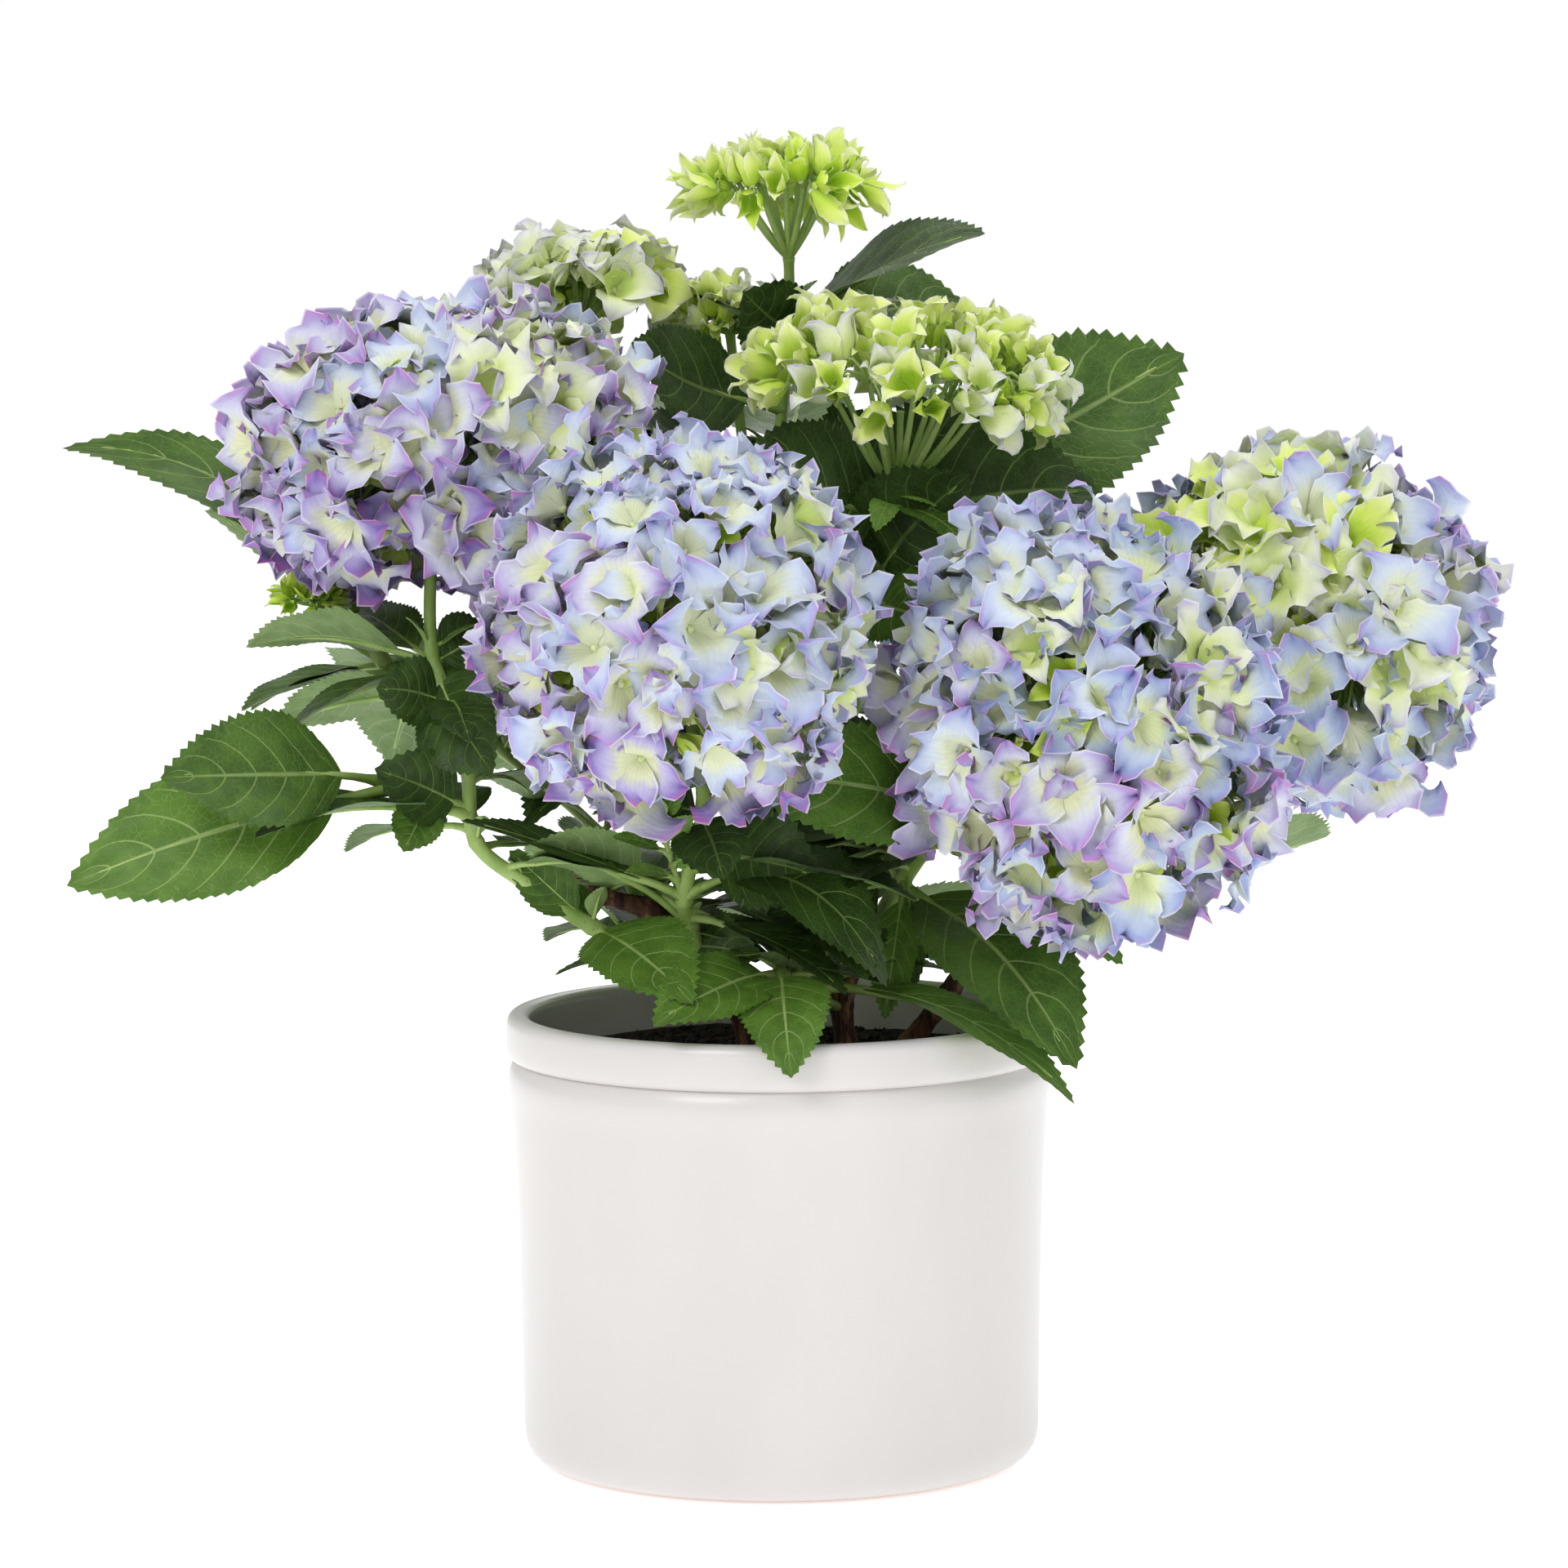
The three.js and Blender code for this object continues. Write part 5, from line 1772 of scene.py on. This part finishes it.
@dataclass
class FlowerHead:
    """One flower head: florets spread over an ellipsoid, each on its own stalk from the head's rays."""

    shoot: Shoot
    route: Route
    sepals: SepalMaker
    inner_sepals: SepalMaker
    eye_shape: tuple[np.ndarray, Net]
    thinnest: float = 0.3
    tilt: float = 0.34
    stray: float = 0.06
    size_spread: Pair = (0.74, 1.20)
    depth_spread: Pair = (-0.12, 0.04)
    colour_noise: float = 0.16
    eye_lift: float = 0.05
    inner_share: float = 0.80
    inner_size: float = 0.62
    inner_colours: tuple[Share, ...] = (Share(BUD, 0.4), Share(LIME, 0.5))
    ray_radii: Pair = (0.0014, 0.0009)
    stalk_radii: Pair = (0.0007, 0.0005)
    ray_sag: float = 0.12
    stalk_reach: float = 0.25

    def __post_init__(self) -> None:
        """Works out the head's turn and the radii that its florets sit on."""
        bloom = self.shoot.bloom
        about_x, about_y = (math.radians(degrees) for degrees in bloom.turn)
        self.turn = np.array(Matrix.Rotation(about_x, 3, "X") @ Matrix.Rotation(about_y, 3, "Y"))
        self.form = HEAD_FORMS[bloom.style]
        outer = np.array(bloom.radii)
        self.radii = np.maximum(outer - self.form.inset * bloom.floret, outer * self.thinnest)

    @staticmethod
    def directions(count: int) -> np.ndarray:
        """Spreads directions evenly over a ball, from its top down.

        Args:
            count: Their number.

        Returns:
            The directions.
        """
        number = np.arange(count)
        up = 1 - 2 * (number + 0.5) / count
        out = np.sqrt(1 - up**2)
        golden = math.pi * (3 - math.sqrt(5))
        return np.stack([out * np.cos(golden * number), out * np.sin(golden * number), up], 1)

    def place(self, units: np.ndarray, share: Any) -> np.ndarray:
        """Points of the head's ellipsoid, shrunk to a share."""
        return (units * self.radii * share) @ self.turn.T + np.array(self.shoot.bloom.centre)

    def normals(self, units: np.ndarray) -> np.ndarray:
        """The outward directions of the head's ellipsoid."""
        way = unit(units / self.radii) + (0, 0, self.form.upward)
        return unit(way) @ self.turn.T

    def florets(self, batch: Batch, eyes: Batch, layer: Layer, rng: np.random.Generator) -> np.ndarray:
        """Adds one layer of florets.

        Args:
            batch: Where the sepals are gathered.
            eyes: Where the beads are gathered.
            layer: The layer.
            rng: The source of the numbers that differ.

        Returns:
            Where each floret sits.
        """
        units = self.directions(layer.count)
        units = units[units[:, 2] >= self.form.lowest]
        number = len(units)
        units = unit(units + rng.normal(0, self.stray, (number, 3)))
        depth = layer.share * (1 + rng.uniform(*self.depth_spread, (number, 1)))
        bases = self.place(units * (1, 1, self.form.flat), depth)
        normal = unit(self.normals(units) + rng.normal(0, self.tilt, (number, 3)))
        side = unit(np.cross((0.3, 0.9, 0.2), normal))
        other = np.cross(normal, side)
        spin = rng.uniform(0, 2 * math.pi, (number, 1))
        side, other = side * np.cos(spin) + other * np.sin(spin), other * np.cos(spin) - side * np.sin(spin)
        sizes = layer.size * rng.uniform(*self.size_spread, (number, 1, 1))
        opening = OPENINGS[layer.stage]
        local = layer.maker.points(opening, number, rng)
        per = layer.maker.sepals
        basis = np.repeat(np.stack([side, other, normal], 1), per, 0)
        points = np.einsum("nvk,nkc->nvc", local, basis) * np.repeat(sizes, per, 0)
        points = points + np.repeat(bases, per, 0)[:, None]
        noise = self.colour_noise
        # Darker colourings mostly go to the heads' undersides and paler ones to their tops: partly real
        # colour, partly painted shade and light.
        wish = [c.weight + units @ np.array(c.towards) + rng.gumbel(0, noise, number) for c in layer.colours]
        colour = np.array([c.petal.number for c in layer.colours])[np.argmax(wish, axis=0)]
        batch.add(points, layer.maker.blade.net, np.repeat(colour, per))
        if layer.eyes:
            ball, net = self.eye_shape
            lifted = bases + normal * sizes[:, 0] * self.eye_lift
            eyes.add(lifted[:, None] + ball[None] * sizes * opening.eye, net, np.zeros(number, int))
        return bases

    def stalks(self, batch: Batch, bases: np.ndarray) -> None:
        """Adds the rays from the shoot and the florets' stalks from the nearest ray.

        Args:
            batch: Where they are gathered.
            bases: Where each floret sits.
        """
        bloom = self.shoot.bloom
        hub = self.route.point(bloom.rays_from or self.route.last)
        units = self.directions(bloom.rays * 2)[: bloom.rays + 2]
        ends = self.place(units * (1, 1, self.form.flat), self.form.reach)
        ray, thin = Tube(6, 7), Tube(5, 5)
        for end in ends:
            pull = (hub + end) / 2 - np.array([0, 0, self.ray_sag]) * np.linalg.norm(end - hub)
            line = curve(hub, pull, end, np.linspace(0, 1, ray.rings))
            batch.add_one(ray.sweep(line, np.linspace(*self.ray_radii, ray.rings)), ray.net)
        for base in bases:
            start = ends[np.argmin(np.linalg.norm(ends - base, axis=1))]
            pull = start + (base - start) * 0.5 + (start - hub) * self.stalk_reach
            line = curve(start, pull, base, np.linspace(0, 1, thin.rings))
            batch.add_one(thin.sweep(line, np.linspace(*self.stalk_radii, thin.rings)), thin.net)

    def build(self, materials: Sequence[Material], eyes: Batch, stalks: Batch) -> Piece:
        """Builds the head's florets and adds their beads and stalks to their batches.

        Args:
            materials: The material of each colouring.
            eyes: Where the beads are gathered.
            stalks: Where the stalks are gathered.

        Returns:
            The piece of sepals.
        """
        bloom, name = self.shoot.bloom, self.shoot.name
        rng = np.random.default_rng(self.shoot.seed * 7)
        batch = Batch()
        layers = [Layer(self.sepals, bloom.florets, 1.0, bloom.floret, bloom.stage, bloom.colours)]
        if bloom.inner:
            size, colours = bloom.floret * self.inner_size, self.inner_colours
            layers.append(Layer(
                self.inner_sepals, bloom.inner, self.inner_share, size, Stage.HALF, colours, eyes=False))
        bases = np.concatenate([self.florets(batch, eyes, layer, rng) for layer in layers])
        self.stalks(stalks, bases)
        piece = batch.build(f"petals_{name}", materials)
        return settle(piece, [f"bloom_{name}"])


def unit(ways: np.ndarray) -> np.ndarray:
    """Each direction at a length of 1."""
    return ways / np.linalg.norm(ways, axis=1, keepdims=True)


# ------------------------------------------------------------------------------------------- stems and wood


@dataclass
class OldWood:
    """The old stems, with flaking bark.

    `slim` is their share of the listed radii, and depths are shares of the radius.
    """

    sides: int = 30
    rings_per_point: int = 16
    slim: float = 0.80
    knot: float = 0.10
    ridge: float = 0.05
    ridges: tuple[Point, ...] = ((3, 1.3, 0.5), (5, 2.1, 0.6), (8, 3.4, 0.5), (11, 7.0, 0.4))
    flake: float = 0.042
    flake_edge: float = 0.3
    flake_paces: Pair = (9, 17)
    top: Pair = (0.96, 0.72)
    sunk: float = 0.003

    def build(self, material: Material) -> None:
        """Builds one piece for each old stem.

        Args:
            material: The bark.
        """
        for number, (name, wood) in enumerate(WOOD.items()):
            route = Route(wood.path)
            places, centres = route.line(self.rings_per_point)
            tube = Tube(len(places), self.sides)
            radii = np.interp(places, [0, route.last], wood.radii) * self.slim
            radii = radii * (1 + self.knot * np.cos(2 * math.pi * places))
            radii[-2:] *= self.top
            centres[0, 2] -= self.sunk
            batch = Batch()
            batch.add_one(tube.sweep(centres, radii, self._relief(places, number) * radii[:, None]), tube.net)
            settle(batch.build(f"bark_{name}", [material]), [f"wood_{name}"])

    def _relief(self, places: np.ndarray, seed: int) -> np.ndarray:
        """Roughens the bark with ridges and flakes.

        Args:
            places: The place of each ring.
            seed: The number of the stem.

        Returns:
            What each point stands out by, as a share of the radius.
        """
        rng = np.random.default_rng(seed + 5)
        turn = np.arange(self.sides)[None] * 2 * math.pi / self.sides
        along = places[:, None]
        height = np.zeros((len(places), self.sides))
        for waves, pace, depth in self.ridges:
            phase = rng.uniform(0, 2 * math.pi)
            height += self.ridge * depth * np.sin(waves * turn + pace * along + phase)
        slow, fast = self.flake_paces
        crack = np.sin(turn * 2 + slow * along + rng.uniform(0, 6)) * np.sin(fast * along + turn)
        return height + self.flake * np.sign(crack) * np.abs(crack) ** self.flake_edge


@dataclass
class GreenShoots:
    """The green shoots from their wood up into their flower heads, with the twigs that leave them.

    `slim` is their share of the listed radii, and `top_slim` slims what stands above the rays.
    """

    sides: int = 14
    rings_per_point: int = 12
    slim: float = 0.70
    top_slim: float = 0.55
    node: float = 0.20
    node_width: float = 0.07
    twig_taper: float = 0.8

    def build(self, routes: dict[str, Route], material: Material) -> None:
        """Builds one piece for each shoot.

        Args:
            routes: The line of each shoot.
            material: The green of the shoots.
        """
        thin = Tube(9, 10)
        for shoot in SHOOTS:
            route = routes[shoot.name]
            places, centres = route.line(self.rings_per_point)
            tube = Tube(len(places), self.sides)
            off = (places - np.round(places)) / self.node_width
            radii = np.interp(places, [0, route.last], shoot.radii) * self.slim
            radii = radii * (1 + self.node * np.exp(-(off**2)))
            if shoot.bloom and shoot.bloom.rays_from:
                radii = np.where(places > shoot.bloom.rays_from, radii * self.top_slim, radii)
            batch = Batch()
            batch.add_one(tube.sweep(centres, radii), tube.net)
            for twig in shoot.twigs:
                root, tip = route.point(twig.at), np.array(twig.tip)
                line = root + (tip - root) * np.linspace(0, 1, thin.rings)[:, None]
                radii = np.linspace(twig.radius, twig.radius * self.twig_taper, thin.rings)
                batch.add_one(thin.sweep(line, radii), thin.net)
            settle(batch.build(f"stem_{shoot.name}", [material]), [f"bough_{shoot.name}"])


# --------------------------------------------------------------------------------------------- pot and soil


@dataclass
class Pot:
    """The round pot: a straight body with a bead, a groove and a rounded rim.

    A pair is a radius and a height on its outline.
    """

    height: float = 0.158
    foot_radius: float = 0.076
    heel: Pair = (0.0898, 0.013)
    body: Pair = (0.0906, 0.060)
    belly: Pair = (0.0912, 0.100)
    shoulder: Pair = (0.0934, 0.128)
    bead: Pair = (0.0960, 0.138)
    groove: Pair = (0.0917, 0.142)
    rim_radius: float = 0.095
    rim_from: float = 0.147
    rim_to: float = 0.153
    lip_round: float = 0.004
    mouth_radius: float = 0.0866
    inner_top: Pair = (0.0852, 0.138)
    inner_radius: float = 0.0842
    floor: float = 0.008
    floor_round: float = 0.008
    centre_radius: float = 0.004
    segments: int = 160
    crease: float = 40.0

    def outline(self) -> list[Pair]:
        """Draws the pot's outline.

        Returns:
            Its points from the middle of its underside to the middle of its floor.
        """
        rim, mouth, inner, height = self.rim_radius, self.mouth_radius, self.inner_radius, self.height
        line = [(self.centre_radius, 0.0), (self.foot_radius * 0.5, 0.0), (self.foot_radius, 0.0)]
        line += arc(line[-1], (self.heel[0], 0.0), self.heel, 10)
        line += [((self.heel[0] + self.body[0]) / 2, (self.heel[1] + self.body[1]) / 2), self.body]
        line += arc(self.body, self.belly, self.shoulder, 10)
        line += arc(self.shoulder, self.bead, self.groove, 10)
        line += arc(self.groove, (rim, self.groove[1]), (rim, self.rim_from), 7)
        line += arc((rim, self.rim_to), (rim, height), (rim - self.lip_round, height), 7)
        line += arc(line[-1], (mouth, height), (mouth, height - self.lip_round), 7)
        line += [self.inner_top, (inner, self.floor + self.floor_round)]
        line += arc(line[-1], (inner, self.floor), (inner - self.floor_round, self.floor), 5)
        return line + [(self.centre_radius, self.floor)]

    def build(self) -> Piece:
        """Builds and glazes the pot.

        Returns:
            The pot.
        """
        piece = turned_piece("glazed_pot", self.outline(), self.segments)
        piece.data.materials.append(GlazeFinish().material())
        smooth_by_angle(piece, self.crease)
        return settle(piece, ["pot"])


@dataclass
class Soil:
    """The potting soil: a rough top with crumbs and chips on it."""

    level: float = 0.142
    radius: float = 0.0840
    bottom: float = 0.009
    bottom_round: float = 0.009
    bulge: float = 0.0008
    skirt: float = 0.003
    centre_radius: float = 0.0006
    under_radius: float = 0.004
    wave: float = 0.0016
    waves: tuple[Pair, ...] = ((60, 0.5), (130, 0.35), (290, 0.25), (640, 0.18))
    crossings: int = 3
    sunk: float = 0.001
    rings: int = 26
    segments: int = 120
    crumbs: int = 900
    crumb_size: Pair = (0.0006, 0.0026)
    crumb_edge: float = 0.006
    crumb_sunk: float = 0.0008
    chips: int = 70
    chip_length: Pair = (0.005, 0.014)
    chip_width: float = 0.0011
    chip_thickness: float = 0.0006
    seed: int = 41

    def build(self) -> None:
        """Builds the soil and its crumbs."""
        finish = SoilFinish().material()
        radius, bottom = self.radius, self.bottom
        line = [(self.under_radius, bottom), (radius - self.bottom_round, bottom)]
        line += [(radius, bottom + self.bottom_round), (radius + self.bulge, self.level - self.skirt)]
        line += [(radius * (1 - k / self.rings) + self.centre_radius, self.level) for k in range(self.rings)]
        piece = turned_piece("soil", line, self.segments)
        points = np.empty(len(piece.data.vertices) * 3)
        piece.data.vertices.foreach_get("co", points)
        points = points.reshape(-1, 3)
        top = points[:, 2] > self.level - self.sunk
        points[top, 2] += self._height(points[top]) - self.sunk
        piece.data.vertices.foreach_set("co", points.ravel())
        piece.data.materials.append(finish)
        smooth_by_angle(piece, 60)
        settle(piece, ["potting_soil"])
        self._build_crumbs(finish)

    def _height(self, points: np.ndarray) -> np.ndarray:
        """Roughens the soil's top with crossing waves.

        Args:
            points: Points of the top.

        Returns:
            How far each stands over the soil's level.
        """
        rng = np.random.default_rng(self.seed)
        total = np.zeros(len(points))
        for scale, depth in self.waves:
            for angle in rng.uniform(0, 2 * math.pi, self.crossings):
                pace = scale * (math.cos(angle) * points[:, 0] + math.sin(angle) * points[:, 1])
                total += depth * np.sin(pace + angle * 7) / self.crossings
        return total * self.wave

    def _build_crumbs(self, finish: Material) -> None:
        """Strews crumbs and chips over the soil, away from the pot's wall.

        Args:
            finish: The soil's material.
        """
        rng = np.random.default_rng(self.seed + 1)
        ball, net = bead_shape(1)
        batch = Batch()
        for number in range(self.crumbs + self.chips):
            out = (self.radius - self.crumb_edge) * math.sqrt(rng.uniform())
            turn = rng.uniform(0, 2 * math.pi)
            spot = np.array([out * math.cos(turn), out * math.sin(turn), 0.0])
            spot[2] = self.level - self.crumb_sunk + self._height(spot[None])[0]
            size = rng.uniform(*self.crumb_size) * rng.uniform(0.6, 1.2, 3)
            if number >= self.crumbs:
                size = np.array([rng.uniform(*self.chip_length) / 2, self.chip_width, self.chip_thickness])
            rough = ball * rng.uniform(0.75, 1.2, (len(ball), 1)) * size
            spin = rng.uniform(0, 2 * math.pi)
            cos, sin = math.cos(spin), math.sin(spin)
            batch.add_one(rough @ np.array([[cos, sin, 0], [-sin, cos, 0], [0, 0, 1]]) + spot, net)
        settle(batch.build("soil_crumbs", [finish], 30))


def bead_shape(subdivisions: int) -> tuple[np.ndarray, Net]:
    """Takes a ball of radius 1 from a primitive.

    Args:
        subdivisions: How fine it is.

    Returns:
        Its points and its net.
    """
    deselect_all()
    bpy.ops.mesh.primitive_ico_sphere_add(subdivisions=subdivisions, radius=1.0)
    ball = bpy.context.object
    points = np.array([v.co for v in ball.data.vertices])
    faces = [list(p.vertices) for p in ball.data.polygons]
    bpy.data.objects.remove(ball)
    return points, Net.of(faces, [[(0.5, 0.5)] * len(face) for face in faces], [0] * len(faces))


# --------------------------------------------------------------------------------------- the plant and stage


@dataclass
class Hydrangea:
    """The whole plant in its pot."""

    samples_per_point: int = 3

    def routes(self) -> dict[str, Route]:
        """The line of every shoot, from the axis of its wood."""
        woods = {name: Route(wood.path) for name, wood in WOOD.items()}
        return {s.name: Route([woods[s.wood].point(s.place), *s.path]) for s in SHOOTS}

    def build(self) -> None:
        """Builds pot, soil, wood, shoots, leaves and flower heads."""
        Pot().build()
        Soil().build()
        OldWood().build(BarkFinish().material())
        green = StemFinish().material()
        routes = self.routes()
        GreenShoots().build(routes, green)
        stalks, eyes = Batch(), Batch()
        self._build_leaves(routes, stalks)
        self._build_heads(routes, eyes, stalks)
        settle(stalks.build("leaf_and_flower_stalks", [green]))
        settle(eyes.build("floret_eyes", [EyeFinish().material()]))

    def _build_leaves(self, routes: dict[str, Route], stalks: Batch) -> None:
        """Builds the leaves of every shoot.

        Args:
            routes: The line of each shoot.
            stalks: Where the leaves' stalks are gathered.
        """
        materials = [tone.face.material() for tone in LeafTone] + [tone.back.material() for tone in LeafTone]
        maker = LeafMaker()
        small_maker = LeafMaker(rows=24, columns=6, stalk_rings=8, stalk_sides=6)
        samples = {name: route.line(self.samples_per_point)[1] for name, route in routes.items()}
        for shoot in SHOOTS:
            limbs = [points for name, points in samples.items() if name != shoot.name]
            Foliage(shoot, routes[shoot.name], limbs, maker, small_maker).build(materials, stalks)

    def _build_heads(self, routes: dict[str, Route], eyes: Batch, stalks: Batch) -> None:
        """Builds every flower head.

        Args:
            routes: The line of each shoot.
            eyes: Where the florets' beads are gathered.
            stalks: Where the florets' stalks are gathered.
        """
        materials = [petal.finish.material() for petal in Petal]
        sepals, inner_sepals = SepalMaker(), SepalMaker(rows=6, columns=2)
        eye_shape = bead_shape(2)
        for shoot in SHOOTS:
            if shoot.bloom:
                head = FlowerHead(shoot, routes[shoot.name], sepals, inner_sepals, eye_shape)
                head.build(materials, eyes, stalks)


@dataclass
class SoftBox:
    """A square area light that looks at the plant."""

    place: Point
    side: float
    power: float
    aim: Point = (0.0, 0.0, 0.27)

    def build(self, name: str) -> None:
        """Hangs the light.

        Args:
            name: Its name.
        """
        light = bpy.data.lights.new(name, "AREA")
        light.shape = "SQUARE"
        light.size = self.side
        light.energy = self.power
        lamp = bpy.data.objects.new(name, light)
        lamp.location = self.place
        lamp.rotation_euler = (Vector(self.aim) - Vector(self.place)).to_track_quat("-Z", "Y").to_euler()
        bpy.context.scene.collection.objects.link(lamp)


@dataclass
class Studio:
    """The camera, a pale floor, and soft light before a white backdrop."""

    eye: Point = (0.0022, -2.350, 0.4734)
    pitch: float = 5.752
    roll: float = 0.35
    focal_in_widths: float = 8337 / 1920
    sensor: float = 36.0
    clip_end: float = 50.0
    floor_tint: Tint = tint("#f3f3f3")
    floor_glow: float = 0.47
    floor_radius: float = 30.0
    sky: float = 0.60
    backdrop: float = 1.0
    boxes: dict[str, SoftBox] = field(default_factory=lambda: {
        "key_light": SoftBox((-1.5, -2.2, 2.2), 1.4, 34.0),
        "fill_light": SoftBox((1.9, -2.0, 1.3), 1.8, 8.0),
        "top_light": SoftBox((0.2, 0.3, 2.8), 1.6, 20.0),
        "back_light": SoftBox((0.6, 2.4, 1.8), 1.6, 14.0),
    })

    def build(self) -> None:
        """Sets the stage."""
        self._camera()
        self._floor()
        self._sky()
        for name, box in self.boxes.items():
            box.build(name)
        bpy.context.scene.view_settings.view_transform = "Standard"

    def _camera(self) -> None:
        """Places the camera by its pitch and roll."""
        pitch, roll = math.radians(self.pitch), math.radians(self.roll)
        ahead = Vector((0, math.cos(pitch), -math.sin(pitch)))
        right = Vector((1, 0, 0))
        up = right.cross(ahead)
        turned_right = right * math.cos(roll) - up * math.sin(roll)
        turned_up = right * math.sin(roll) + up * math.cos(roll)
        data = bpy.data.cameras.new("camera")
        data.sensor_width = self.sensor
        data.lens = self.sensor * self.focal_in_widths
        data.clip_end = self.clip_end
        camera = bpy.data.objects.new("camera", data)
        turn = Matrix((turned_right, turned_up, -ahead)).transposed().to_4x4()
        camera.matrix_world = Matrix.Translation(self.eye) @ turn
        bpy.context.scene.collection.objects.link(camera)
        bpy.context.scene.camera = camera

    def _sky(self) -> None:
        """Makes the air round the plant: soft light from all sides before a white backdrop."""
        world = bpy.data.worlds.new("soft_sky")
        world.use_nodes = True
        nodes, links = world.node_tree.nodes, world.node_tree.links
        seen = nodes.new("ShaderNodeLightPath")
        strength = nodes.new("ShaderNodeMapRange")
        links.new(seen.outputs["Is Camera Ray"], strength.inputs["Value"])
        strength.inputs["To Min"].default_value = self.sky
        strength.inputs["To Max"].default_value = self.backdrop
        nodes["Background"].inputs["Color"].default_value = (1, 1, 1, 1)
        links.new(strength.outputs["Result"], nodes["Background"].inputs["Strength"])
        bpy.context.scene.world = world

    def _floor(self) -> None:
        """Lays a pale round floor."""
        deselect_all()
        bpy.ops.mesh.primitive_circle_add(vertices=96, radius=self.floor_radius, fill_type="NGON")
        floor = bpy.context.object
        floor.name = floor.data.name = "floor"
        glow = {"Emission_Color": (1, 1, 1, 1), "Emission_Strength": self.floor_glow}
        floor.data.materials.append(Bench("pale_floor").finish(self.floor_tint, 0.9, **glow))


def main() -> None:
    """Builds the studio and the plant in order."""
    logging.basicConfig(level=logging.INFO, format="%(name)s: %(message)s")
    Studio().build()
    Hydrangea().build()


if __name__ == "__main__":
    main()
